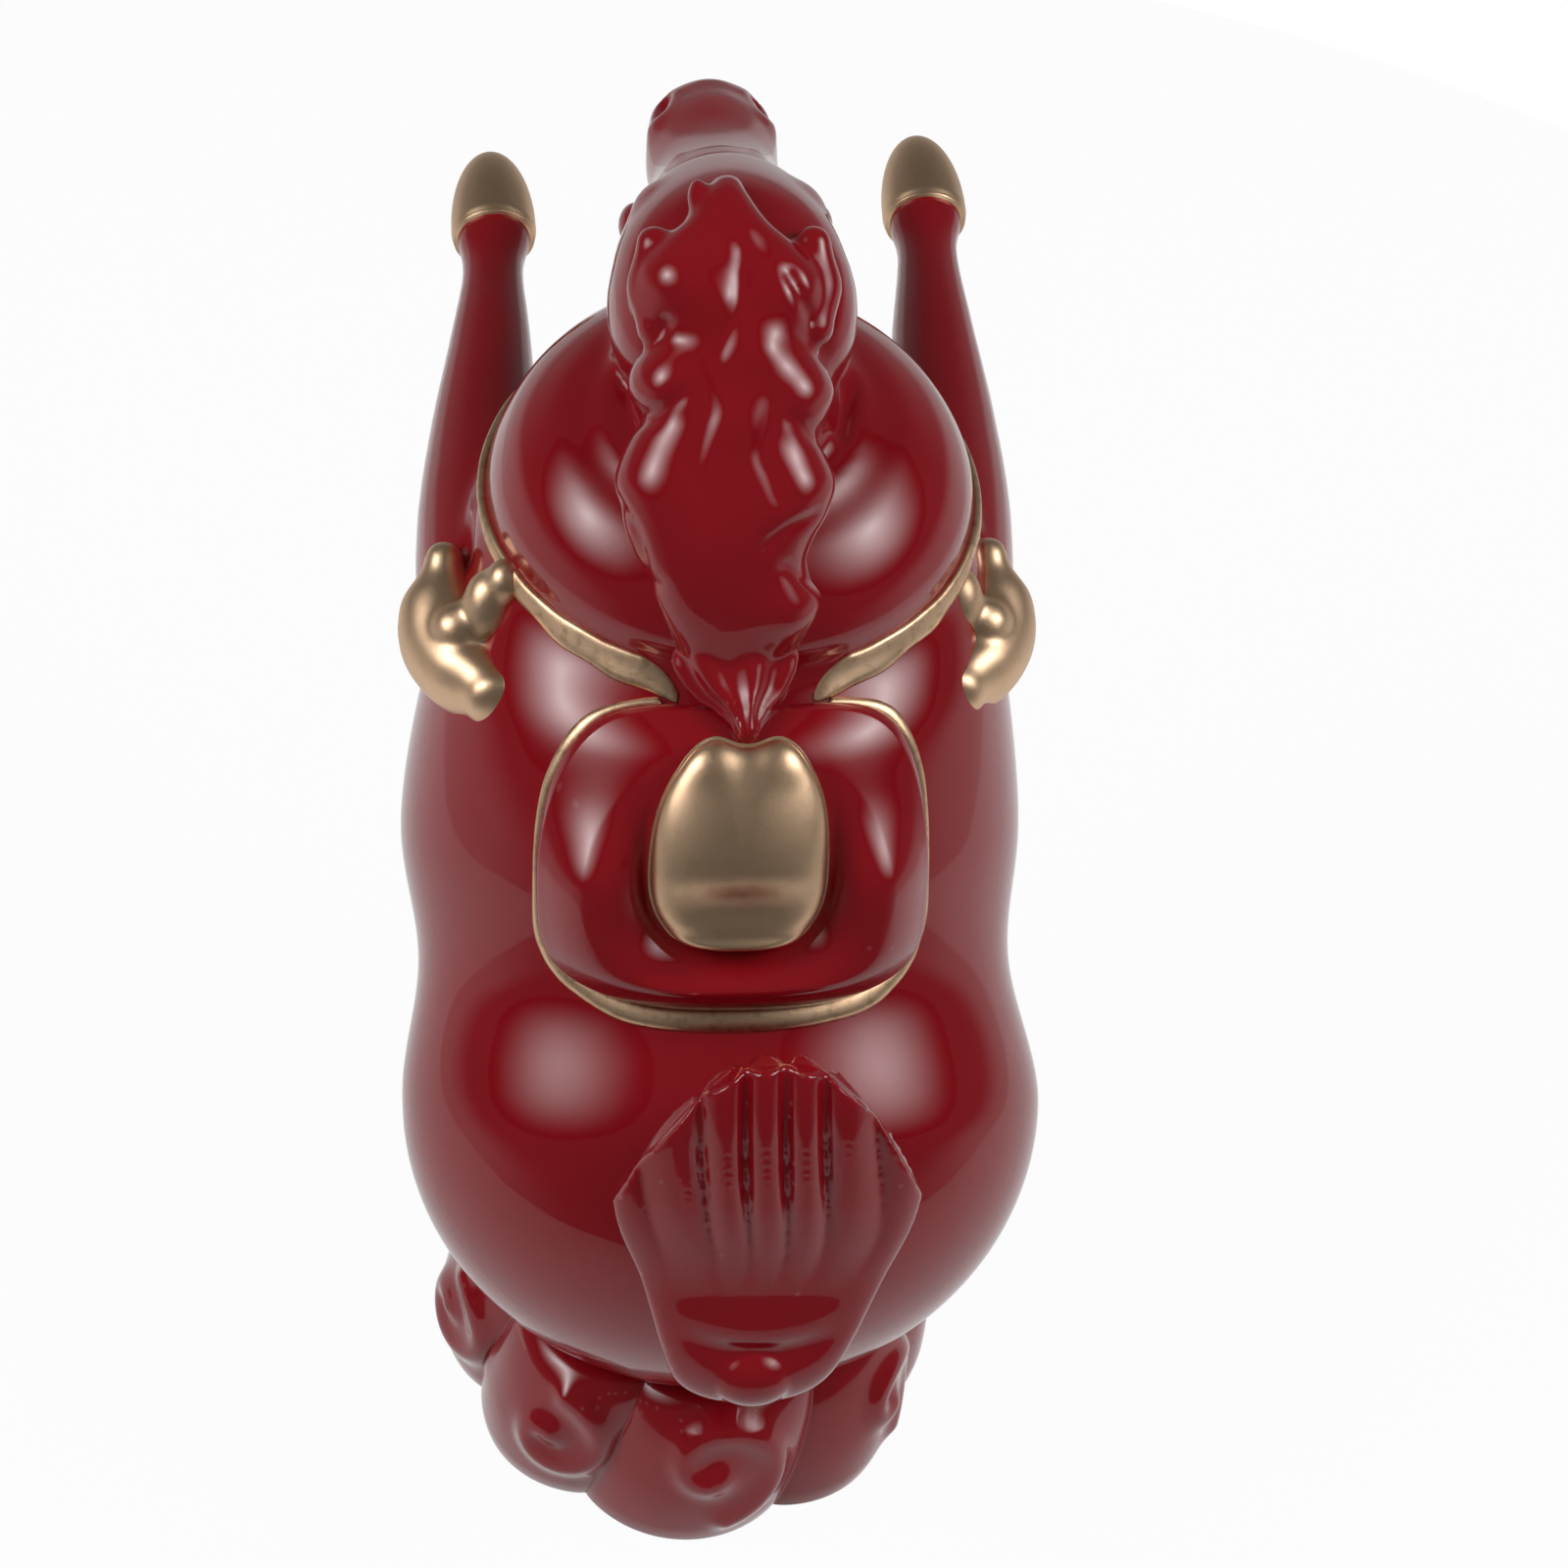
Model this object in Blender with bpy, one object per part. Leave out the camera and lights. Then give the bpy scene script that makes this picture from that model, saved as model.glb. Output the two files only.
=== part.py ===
"""A glazed ceramic horse figurine: a stout rearing horse that sits on a curled cloud.

Sizes are in metres and angles in degrees. The horse faces -Y and stands on Z = 0.
Places are given as side (+X, the horse's left), ahead (towards its nose) and up.
Each casting is a loft of rings along a spine, and trim is laid on the body's surface.
"""

import functools
import math

import bmesh
import bpy
import numpy as np
from mathutils import Vector

# Gap between pieces that touch
CLEARANCE = 0.0003

# Body: the spine runs from the rump through the barrel and chest to the collar, and bows
# a little to the horse's left on the way
RUMP_AHEAD = 0.048
RUMP_UP = 0.0745
RUMP_HALF_WIDTH = 0.0595
RUMP_RADIUS = 0.048
RUMP_LENGTH = 0.0545
WAIST_HALF_WIDTH = 0.0550
WAIST_RADIUS = 0.0465
BARREL_HALF_WIDTH = 0.0573
BARREL_RADIUS = 0.050
CHEST_HALF_WIDTH = 0.0525
WAIST_SIDE = 0.0012
BARREL_SIDE = 0.0020
CHEST_SIDE = 0.0012
CHEST_RADIUS = 0.0495
COLLAR_RADIUS = 0.0447
RUMP_TO_BARREL = 0.0535
BARREL_TO_CHEST = 0.0325
CHEST_TO_COLLAR = 0.0294
BODY_PITCH = 52.0
BARREL_PITCH = 57.0
CHEST_PITCH = 72.0
COLLAR_PITCH = 96.0
DOME_HEIGHT = 0.0235

# Dome above the collar: share of its height and share of the collar's radius
DOME_SHAPE = ((0.36, 0.945), (0.70, 0.79), (0.90, 0.62), (1.0, 0.47))

# Shapes of the lofted pieces. Each row is a ring: out, ahead and up as shares of the
# piece's length from its starting point, pitch, and shares of its half width and depth.

# Neck, from inside the dome up into the head; the start is given from the collar's centre
NECK_AHEAD = -0.006
NECK_UP = 0.012
NECK_LENGTH = 0.036
NECK_HALF_WIDTH = 0.0178
NECK_HALF_DEPTH = 0.0180
NECK_SHAPE = (
    (0.0, 0.00, 0.00, 88.0, 1.05, 1.10),
    (0.0, 0.02, 0.40, 82.0, 1.00, 0.97),
    (0.0, 0.10, 0.75, 70.0, 0.92, 0.85),
    (0.0, 0.20, 1.00, 58.0, 0.76, 0.66),
)

# Head, from behind the cheeks to the muzzle; the start is given from the collar's centre
HEAD_AHEAD = -0.003
HEAD_UP = 0.0420
HEAD_LENGTH = 0.0710
CHEEK_HALF_WIDTH = 0.0212
CHEEK_HALF_DEPTH = 0.0218
HEAD_ROUND = 0.009
MUZZLE_ROUND = 0.0105
HEAD_SHAPE = (
    (0.0, 0.00, 0.000, -6.0, 0.84, 0.86),
    (0.0, 0.16, -0.020, -12.0, 1.00, 1.00),
    (0.0, 0.38, -0.075, -15.0, 0.93, 0.90),
    (0.0, 0.58, -0.130, -16.0, 0.82, 0.75),
    (0.0, 0.80, -0.180, -15.0, 0.56, 0.61),
    (0.0, 1.00, -0.225, -11.0, 0.52, 0.57),
)
EYE_RADIUS = 0.0042
EYE_RISE = 0.0012
NOSTRIL_RADIUS = 0.0021
NOSTRIL_RISE = 0.0035
MOUTH_GAP = 0.0012
MOUTH_DROP = 0.0050
MOUTH_DEPTH = 0.0050

# Ears, beside the top of the mane
EAR_LENGTH = 0.0125
EAR_SIDE = 0.0137
EAR_BEHIND_CHEEK = 0.0150
EAR_ABOVE_CHEEK = 0.0125
EAR_HALF_WIDTH = 0.0044
EAR_HALF_DEPTH = 0.0036
EAR_ROUND = 0.003
EAR_SHAPE = (
    (0.00, 0.00, 0.00, 38.0, 0.75, 1.00),
    (0.04, 0.45, 0.33, 38.0, 1.00, 1.00),
    (0.04, 0.90, 0.72, 38.0, 0.70, 0.80),
)

# Mane, from the withers over the poll to the forelock; start given from the collar's centre
MANE_AHEAD = -0.033
MANE_UP = -0.003
MANE_LENGTH = 0.0625
MANE_HALF_WIDTH = 0.0178
MANE_HALF_DEPTH = 0.0115
MANE_START_ROUND = 0.0075
MANE_END_ROUND = 0.0040
MANE_SHAPE = (
    (0.0, -0.055, -0.03, 84.0, 0.66, 0.78),
    (0.0, 0.03, 0.25, 70.0, 0.86, 0.88),
    (0.0, 0.23, 0.51, 58.0, 0.97, 1.00),
    (0.0, 0.47, 0.84, 46.0, 0.97, 1.00),
    (0.0, 0.59, 0.98, 16.0, 0.86, 0.84),
    (0.0, 0.69, 1.01, -12.0, 0.52, 0.60),
    (0.0, 0.79, 0.97, -34.0, 0.30, 0.40),
)
MANE_WAVE = 0.075
MANE_WAVES = 5.0
MANE_WAVE_SKEW = 1.3
MANE_SIDE_SHARE = 0.6

# Lock of hair between the mane's lower end and the notch of the seat
LOCK_HALF_WIDTH = 0.0066
LOCK_HALF_DEPTH = 0.0048
LOCK_MIDDLE_HALF_WIDTH = 0.0053
LOCK_ROUND = 0.0025

# Forelegs, from inside the shoulders to the pasterns, and their hooves; the inset is from the
# barrel's side
FORELEG_INSET = 0.0153
FORELEG_LENGTH = 0.0935
RIGHT_FORELEG_EXTRA = 0.0045
FORELEG_LEAN = 0.0054
FORELEG_AHEAD_OF_CHEST = 0.0075
FORELEG_ABOVE_CHEST = 0.0045
FORELEG_RADIUS = 0.0092
FORELEG_PITCH = 6.0
SHOULDER_ROUND = 0.010
FORELEG_SHAPE = (
    (0.000, 0.00, 0.000, 6.0, 1.42, 1.60),
    (0.012, 0.22, 0.023, 6.0, 1.34, 1.44),
    (0.014, 0.46, 0.048, 6.0, 1.14, 1.20),
    (0.008, 0.70, 0.074, 6.0, 0.92, 0.96),
    (0.006, 0.91, 0.096, 6.0, 0.67, 0.67),
    (0.006, 1.00, 0.105, 6.0, 0.78, 0.78),
)
FRONT_HOOF_RADIUS = 0.0082
FRONT_HOOF_TOP_SHARE = 0.94
FRONT_HOOF_WALL = 0.0095
FRONT_HOOF_ROUND = 0.0130

# Hind legs, from the hooves up to the haunches, and their hooves
HIND_LEG_INSET = 0.0225
HIND_LEG_AHEAD = 0.0620
HIND_LEG_LENGTH = 0.034
HAUNCH_HALF_WIDTH = 0.0140
HAUNCH_HALF_DEPTH = 0.0180
HAUNCH_ROUND = 0.0140
HIND_LEG_SHAPE = (
    (0.00, 0.00, 0.00, 88.0, 0.57, 0.47),
    (0.02, 0.06, 0.22, 76.0, 0.66, 0.62),
    (0.07, 0.26, 0.62, 62.0, 0.90, 0.90),
    (0.09, 0.52, 1.00, 56.0, 1.00, 1.00),
)
HIND_HOOF_RADIUS = 0.0085
HIND_HOOF_LONG_SHARE = 1.15
HIND_HOOF_TOP_SHARE = 0.9
HIND_HOOF_HEIGHT = 0.0135
HIND_HOOF_ABOVE_CLOUD = 0.001
HIND_HOOF_ROUND = 0.0020

# Tail: the dock and bend, then the fan from the crease to its corners and top; the fan stands
# a little to the horse's right
TAIL_START_AHEAD = 0.0130
TAIL_START_UP = 0.0705
TAIL_DOCK_HALF_WIDTH = 0.0105
TAIL_DOCK_HALF_DEPTH = 0.0066
TAIL_BEND_AHEAD = -0.0080
TAIL_BEND_UP = 0.0690
TAIL_BEND_HALF_WIDTH = 0.0150
TAIL_BEND_HALF_DEPTH = 0.0092
FAN_HALF_WIDTH = 0.0274
FAN_LENGTH = 0.0645
FAN_SIDE = -0.0030
FAN_LEAN = 12.0
FAN_HALF_THICKNESS = 0.0032
FAN_EDGE_HALF_THICKNESS = 0.0022
FAN_RIDGES = 7
FAN_RIDGE_HEIGHT = 0.0009
FAN_CORNER_SHARE = 0.545
FAN_ARCH = 2.2
FAN_LOW_SHARE = 0.80

# Saddle: distances along the back are from over the rump's centre
CLOTH_CENTRE = 0.0470
CLOTH_FORWARD = 0.0345
CLOTH_BACKWARD = 0.0225
CLOTH_HALF_WIDTH = 0.0340
CLOTH_SQUARENESS = 0.68
CLOTH_EDGE = 0.0014
CLOTH_PUFF = 0.0030
CLOTH_PUFF_POWER = 0.7
BORDER_SIDE_WIDTH = 0.0018
BORDER_REAR_WIDTH = 0.0036
BORDER_HEIGHT = 0.0015
SEAT_CENTRE = 0.0572
SEAT_HALF_WIDTH = 0.0155
SEAT_HALF_LENGTH = 0.0190
SEAT_SQUARENESS = 0.64
SEAT_TAPER = 0.10
SEAT_RISE = 0.0070
SEAT_FLANGE = 0.0013
SEAT_CROWN_SHARE = 0.92
SEAT_CROWN_POWER = 3.2
SEAT_NOTCH = 0.0026
SEAT_NOTCH_HALF_WIDTH = 0.30
ROLL_WIDTH = 0.0105
ROLL_HEIGHT = 0.0046
ROLL_OPENING = 52.0
ROLL_END_WIDTH = 0.45
ROLL_END_HEIGHT = 0.25
ROLL_TAPER_POWER = 0.35
ROLL_SUNK = 0.0006

# Collar strap: turns are measured round the collar from its rearmost point
STRAP_REAR_WIDTH = 0.0042
STRAP_SIDE_WIDTH = 0.0022
STRAP_HEIGHT = 0.0015
STRAP_END_TURN = 16.0
BORDER_END_TURN = 17.0

# Ingots, hung beside the strap; the middle is given from the collar's centre, and inset from
# the body's side at a share of the way from the chest to the collar
INGOT_PAST_CHEST = 0.3
INGOT_INSET = 0.0019
INGOT_AHEAD = -0.0180
INGOT_UP = -0.0195
INGOT_LENGTH = 0.0145
INGOT_RADIUS = 0.0082
INGOT_END_ROUND = 0.0035
INGOT_DOME_RADIUS = 0.0052
INGOT_DOME_RISE = 0.0062
INGOT_SHAPE = (
    (-0.42, -1.00, 0.30, -8.0, 0.58, 0.56),
    (-0.10, -0.55, 0.04, -2.0, 0.93, 0.90),
    (0.02, 0.00, -0.05, 6.0, 1.00, 1.00),
    (0.10, 0.55, 0.10, 14.0, 0.88, 0.86),
    (0.06, 1.00, 0.42, 22.0, 0.50, 0.52),
)

# Cloud: its middle lies a little to the horse's left
CLOUD_SIDE = 0.0030
CLOUD_HALF_WIDTH = 0.0480
CLOUD_HALF_LENGTH = 0.0590
CLOUD_HEIGHT = 0.0350
CLOUD_LOBES = 9
CLOUD_LOBE_DEPTH = 0.055
CLOUD_SQUARENESS = 0.94
FOOT_RING_WIDTH = 0.007
FOOT_RING_HEIGHT = 0.002
VENT_RADIUS = 0.004
VENT_DEPTH = 0.012
SCROLL_RADIUS = 0.0105
SCROLL_TURNS = 1.30
SCROLL_WIRE = 0.0021
SCROLL_INNER_SHARE = 0.22
SCROLL_THIN_SHARE = 0.65
SCROLL_PROUD_SHARE = 0.4
SCROLL_START_TURN = 108.0
SCROLL_HEIGHT = 0.47
SCROLL_HEADINGS = (-90.0, -130.0, -50.0, 28.0, 152.0, 90.0)

# Cloud's side: share of its outline and share of its height
CLOUD_SHAPE = ((0.98, 0.0), (1.0, 0.14), (1.0, 0.42), (0.955, 0.74), (0.88, 0.93), (0.74, 1.0))

# Cross-sections of the raised strips: shares of the width and of the height
STRIP_PROFILE = ((0.0, 0.0), (1.0, 0.0), (1.0, 0.6), (0.5, 1.0), (0.0, 0.6))
ROLL_PROFILE = ((0.0, 0.0), (1.0, 0.0), (0.92, 0.55), (0.7, 0.92), (0.5, 1.0), (0.3, 0.92), (0.08, 0.55))

# Points round a ring, and the rings of a rounded end by their angles
BODY_SEGMENTS = 28
HEAD_SEGMENTS = 18
MANE_SEGMENTS = 16
LIMB_SEGMENTS = 12
SMALL_SEGMENTS = 8
TAIL_SEGMENTS = 36
CLOUD_SEGMENTS = 45
TRIM_SEGMENTS = 36
TRIM_STEPS = 36
ROLL_STEPS = 16
SCROLL_SEGMENTS = 5
SCROLL_STEPS = 11
ROUND_END_ANGLES = (22.0, 45.0, 67.0)
BODY_END_ANGLES = (18.0, 36.0, 54.0, 72.0)
SHARP_ANGLE = 40.0

# Columns of a station on a spine
SIDE, AHEAD, UP, PITCH, HALF_WIDTH, HALF_DEPTH = range(6)


def material(name, colour, roughness, metallic):
    made = bpy.data.materials.new(name)
    made.use_nodes = True
    shader = made.node_tree.nodes["Principled BSDF"]
    shader.inputs["Base Color"].default_value = (*colour, 1.0)
    shader.inputs["Roughness"].default_value = roughness
    shader.inputs["Metallic"].default_value = metallic
    return made


def glaze_red(piece):
    piece.data.materials.append(material(piece.name + "_red_glaze", (0.20, 0.008, 0.012), 0.12, 0.0))


def gild(piece):
    piece.data.materials.append(material(piece.name + "_gold_lustre", (0.62, 0.42, 0.21), 0.32, 1.0))


def place(side, ahead, up):
    return Vector((side, -ahead, up))


def close_across(mesh, row):
    """Closes a long thin ring across its thickness, pair by pair."""
    for k in range(len(row) // 2):
        corners = [row[k], row[k + 1], row[len(row) - k - 1], row[-k]]
        mesh.faces.new(list(dict.fromkeys(corners)))


def skin(name, rings, start=None, end=None, thin_end=False):
    """One closed surface over a row of rings, with a point or a flat face at each end."""
    mesh = bmesh.new()
    rows = [[mesh.verts.new(point) for point in ring] for ring in rings]
    count = len(rows[0])
    for low, high in zip(rows, rows[1:]):
        for k in range(count):
            after = (k + 1) % count
            mesh.faces.new((low[k], low[after], high[after]))
            mesh.faces.new((low[k], high[after], high[k]))
    for row, tip in ((rows[0], start), (rows[-1], end)):
        if tip is not None:
            point = mesh.verts.new(tip)
            for k in range(count):
                mesh.faces.new((row[k], row[(k + 1) % count], point))
        elif thin_end and row is rows[-1]:
            close_across(mesh, row)
        else:
            mesh.faces.new(row)
    bmesh.ops.recalc_face_normals(mesh, faces=mesh.faces)
    data = bpy.data.meshes.new(name)
    mesh.to_mesh(data)
    mesh.free()
    piece = bpy.data.objects.new(name, data)
    bpy.context.collection.objects.link(piece)
    data.shade_smooth()
    data.set_sharp_from_angle(angle=math.radians(SHARP_ANGLE))
    return piece


def combine(piece, other, operation):
    """Adds or takes away another solid by an exact Boolean; the other one stays hidden."""
    other.hide_render = True
    other.display_type = "WIRE"
    change = piece.modifiers.new(operation.lower(), "BOOLEAN")
    change.operation = operation
    change.solver = "EXACT"
    change.object = other


def fit(piece, *cutters):
    """Cuts a piece by grown copies of its neighbours, which leaves the clearance between them."""
    for cutter in cutters:
        combine(piece, cutter, "DIFFERENCE")
    return piece


def stations_from(shape, start, length, half_width, half_depth, side=1.0):
    """The stations of a piece from its shape table; side -1 gives the mirror image."""
    start_side, start_ahead, start_up = start
    return [
        (
            side * (start_side + out * length),
            start_ahead + ahead * length,
            start_up + up * length,
            pitch,
            wide * half_width,
            deep * half_depth,
        )
        for out, ahead, up, pitch, wide, deep in shape
    ]


def mirrored_end(end, inner):
    """A station past the end that runs the spine straight on and holds its sizes steady."""
    phantom = inner.copy()
    phantom[:HALF_WIDTH] = 2.0 * end[:HALF_WIDTH] - inner[:HALF_WIDTH]
    return phantom


def spine_row(stations, spot):
    """The station at a spot on the spine, by a smooth curve through the given stations."""
    last = len(stations) - 1
    index = min(int(spot), last - 1)
    share = spot - index
    here = np.array(stations[index])
    there = np.array(stations[index + 1])
    before = np.array(stations[index - 1]) if index > 0 else mirrored_end(here, there)
    beyond = np.array(stations[index + 2]) if index + 2 <= last else mirrored_end(there, here)
    row = 0.5 * (
        2.0 * here
        + (there - before) * share
        + (2.0 * before - 5.0 * here + 4.0 * there - beyond) * share ** 2
        + (3.0 * here - before - 3.0 * there + beyond) * share ** 3
    )
    return row.tolist()


def ring_frame(row):
    """A station's centre, the spine's direction there and the direction of the ring's back."""
    pitch = math.radians(row[PITCH])
    centre = place(row[SIDE], row[AHEAD], row[UP])
    axis = place(0.0, math.cos(pitch), math.sin(pitch))
    back = Vector((0.0, math.sin(pitch), math.cos(pitch)))
    return centre, axis, back


def ring_at(row, segments, grow=0.0, swell=None):
    """The ring of one station: an ellipse square to the spine's pitch."""
    centre, axis, back = ring_frame(row)
    ring = []
    for k in range(segments):
        turn = 2.0 * math.pi * k / segments
        size = 1.0 + (swell(turn) if swell else 0.0)
        across = (row[HALF_WIDTH] * size + grow) * math.cos(turn)
        rear = (row[HALF_DEPTH] * size + grow) * math.sin(turn)
        ring.append(centre + Vector((across, 0.0, 0.0)) + rear * back)
    return ring


def round_end(row, ring, reach, angles):
    """The rings and the tip of a rounded end; reach is signed along the spine."""
    centre, axis, back = ring_frame(row)
    caps = []
    for angle in angles:
        lean = math.radians(angle)
        caps.append([
            centre + (point - centre) * math.cos(lean) + reach * math.sin(lean) * axis for point in ring
        ])
    return caps, centre + reach * axis


def loft(name, stations, segments, steps, start=0.0, end=0.0, grow=0.0, wave=None, angles=ROUND_END_ANGLES):
    """A smooth casting over stations; start and end are the lengths of its rounded ends, or 0."""
    last = len(stations) - 1
    rows = [spine_row(stations, k / steps) for k in range(last * steps + 1)]
    swells = [wave(k / steps) if wave else None for k in range(last * steps + 1)]
    rings = [ring_at(row, segments, grow, swell) for row, swell in zip(rows, swells)]
    first_tip = None
    final_tip = None
    caps = []
    more = []
    if start > 0.0:
        caps, first_tip = round_end(rows[0], rings[0], -start - grow, angles)
    else:
        rings[0] = [point - grow * ring_frame(rows[0])[1] for point in rings[0]]
    if end > 0.0:
        more, final_tip = round_end(rows[-1], rings[-1], end + grow, angles)
    else:
        rings[-1] = [point + grow * ring_frame(rows[-1])[1] for point in rings[-1]]
    return skin(name, caps[::-1] + rings + more, first_tip, final_tip)


def ball(name, centre, radii, segments=SMALL_SEGMENTS):
    """An ellipsoid with its axes along X, Y and Z."""
    waist = radii[2] * math.sin(math.radians(ROUND_END_ANGLES[0]) / 2.0)
    low = (centre.x, -centre.y, centre.z - waist, 90.0, radii[0], radii[1])
    high = (centre.x, -centre.y, centre.z + waist, 90.0, radii[0], radii[1])
    return loft(name, [low, high], segments, 1, start=radii[2] - waist, end=radii[2] - waist)


def onward(spot, length, pitch):
    """The place a length further on, at a pitch, as ahead and up."""
    turn = math.radians(pitch)
    return spot[0] + length * math.cos(turn), spot[1] + length * math.sin(turn)


# Stations along the body and rings along the head, by their places in the rows
RUMP, WAIST, BARREL, CHEST, COLLAR = range(5)
POLL_RING, CHEEK_RING, BROW_RING = range(3)


@functools.lru_cache
def body_stations():
    rump = (RUMP_AHEAD, RUMP_UP)
    waist = onward(rump, RUMP_TO_BARREL / 2.0, BODY_PITCH)
    barrel = onward(rump, RUMP_TO_BARREL, BODY_PITCH)
    chest = onward(barrel, BARREL_TO_CHEST, (BARREL_PITCH + CHEST_PITCH) / 2.0)
    collar = onward(chest, CHEST_TO_COLLAR, CHEST_PITCH)
    stations = [
        (0.0, *rump, BODY_PITCH, RUMP_HALF_WIDTH, RUMP_RADIUS),
        (WAIST_SIDE, *waist, BODY_PITCH, WAIST_HALF_WIDTH, WAIST_RADIUS),
        (BARREL_SIDE, *barrel, BARREL_PITCH, BARREL_HALF_WIDTH, BARREL_RADIUS),
        (CHEST_SIDE, *chest, CHEST_PITCH, CHEST_HALF_WIDTH, CHEST_RADIUS),
        (0.0, *collar, COLLAR_PITCH, COLLAR_RADIUS, COLLAR_RADIUS),
    ]
    for rise, size in DOME_SHAPE:
        spot = onward(collar, DOME_HEIGHT * rise, COLLAR_PITCH)
        stations.append((0.0, *spot, COLLAR_PITCH, COLLAR_RADIUS * size, COLLAR_RADIUS * size))
    return stations


def body_form(name, grow=0.0):
    return loft(
        name, body_stations(), BODY_SEGMENTS, 3, start=RUMP_LENGTH, grow=grow, angles=BODY_END_ANGLES
    )


def on_body(spot, turn, lift, shift=0.0):
    """A point over the body's skin, shifted along it; turn runs from the horse's left over its back."""
    def at(spot, turn):
        row = spine_row(body_stations(), spot)
        centre, axis, back = ring_frame(row)
        across = Vector((row[HALF_WIDTH] * math.cos(turn), 0.0, 0.0))
        return centre + across + row[HALF_DEPTH] * math.sin(turn) * back

    step = 0.01
    along = at(spot + step, turn) - at(spot - step, turn)
    spot += shift * 2.0 * step / along.length
    around = at(spot, turn + step) - at(spot, turn - step)
    return at(spot, turn) + lift * around.cross(along).normalized()


@functools.lru_cache
def back_lengths():
    """Spots along the body's spine and the lengths along the back up to them."""
    spots = np.linspace(RUMP, COLLAR + 1, 41)
    points = [on_body(float(spot), math.pi / 2.0, 0.0) for spot in spots]
    lengths = [0.0]
    for low, high in zip(points, points[1:]):
        lengths.append(lengths[-1] + (high - low).length)
    return spots, lengths


def on_back(across, distance, lift):
    """A point over the back, by its distance from the middle line and along the back."""
    spots, lengths = back_lengths()
    spot = float(np.interp(distance, lengths, spots))
    half_width = spine_row(body_stations(), spot)[HALF_WIDTH]
    return on_body(spot, math.acos(across / half_width), lift)


def make_body():
    glaze_red(body_form("body"))


def from_collar(ahead, up):
    """A starting point on the middle plane, given from the collar's centre."""
    collar = body_stations()[COLLAR]
    return 0.0, collar[AHEAD] + ahead, collar[UP] + up


def neck_form(name, grow=0.0):
    start = from_collar(NECK_AHEAD, NECK_UP)
    stations = stations_from(NECK_SHAPE, start, NECK_LENGTH, NECK_HALF_WIDTH, NECK_HALF_DEPTH)
    return loft(name, stations, HEAD_SEGMENTS, 2, grow=grow)


def head_stations():
    return stations_from(
        HEAD_SHAPE, from_collar(HEAD_AHEAD, HEAD_UP), HEAD_LENGTH, CHEEK_HALF_WIDTH, CHEEK_HALF_DEPTH
    )


def head_form(name, grow=0.0):
    return loft(name, head_stations(), HEAD_SEGMENTS, 2, start=HEAD_ROUND, end=MUZZLE_ROUND, grow=grow)


def make_head():
    muzzle = head_stations()[-1]
    head = head_form("head")
    fit(head, body_form("head_body_seat", CLEARANCE))
    nose = muzzle[AHEAD] + MUZZLE_ROUND
    nostril_ahead = nose - NOSTRIL_RADIUS / 2.0
    nostril_radii = (NOSTRIL_RADIUS, NOSTRIL_RADIUS * 1.5, NOSTRIL_RADIUS)
    for side in (1.0, -1.0):
        centre = place(side * muzzle[HALF_WIDTH] / 2.0, nostril_ahead, muzzle[UP] + NOSTRIL_RISE)
        fit(head, ball("nostril_cut", centre, nostril_radii))
    mouth = place(0.0, nose, muzzle[UP] - MOUTH_DROP)
    mouth_radii = (muzzle[HALF_WIDTH] * 1.2, MOUTH_DEPTH, MOUTH_GAP / 2.0)
    fit(head, ball("mouth_cut", mouth, mouth_radii, HEAD_SEGMENTS))
    glaze_red(head)


def make_neck():
    neck = neck_form("neck")
    fit(neck, body_form("neck_body_seat", CLEARANCE), head_form("neck_head_seat", CLEARANCE))
    glaze_red(neck)


def make_eyes():
    brow = head_stations()[BROW_RING]
    for name, side in (("eye_left", 1.0), ("eye_right", -1.0)):
        out = brow[HALF_WIDTH] + EYE_RISE - EYE_RADIUS / 2.0
        centre = place(side * out, brow[AHEAD] + EYE_RADIUS, brow[UP] + EYE_RADIUS)
        eye = ball(name, centre, (EYE_RADIUS / 2.0, EYE_RADIUS, EYE_RADIUS * 0.8))
        fit(eye, head_form(name + "_seat", CLEARANCE))
        glaze_red(eye)


def ear_form(name, side, grow=0.0):
    cheek = head_stations()[CHEEK_RING]
    start = (EAR_SIDE, cheek[AHEAD] - EAR_BEHIND_CHEEK, cheek[UP] + EAR_ABOVE_CHEEK)
    stations = stations_from(EAR_SHAPE, start, EAR_LENGTH, EAR_HALF_WIDTH, EAR_HALF_DEPTH, side)
    return loft(name, stations, SMALL_SEGMENTS, 2, start=EAR_ROUND, end=EAR_ROUND, grow=grow)


def make_ears():
    for name, side in (("ear_left", 1.0), ("ear_right", -1.0)):
        ear = ear_form(name, side)
        fit(ear, head_form(name + "_head_seat", CLEARANCE), neck_form(name + "_neck_seat", CLEARANCE))
        glaze_red(ear)


def mane_stations():
    return stations_from(
        MANE_SHAPE, from_collar(MANE_AHEAD, MANE_UP), MANE_LENGTH, MANE_HALF_WIDTH, MANE_HALF_DEPTH
    )


def mane_wave(spot):
    """Lumps along the mane: the sides swell and draw in, out of step with each other."""
    phase = 2.0 * math.pi * MANE_WAVES * spot / (len(MANE_SHAPE) - 1)

    def swell(turn):
        at_sides = MANE_SIDE_SHARE + (1.0 - MANE_SIDE_SHARE) * math.cos(2.0 * turn)
        return MANE_WAVE * at_sides * math.sin(phase + MANE_WAVE_SKEW * math.cos(turn))

    return swell


def mane_form(name, grow=0.0):
    return loft(
        name, mane_stations(), MANE_SEGMENTS, 3,
        start=MANE_START_ROUND, end=MANE_END_ROUND, grow=grow, wave=mane_wave,
    )


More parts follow.
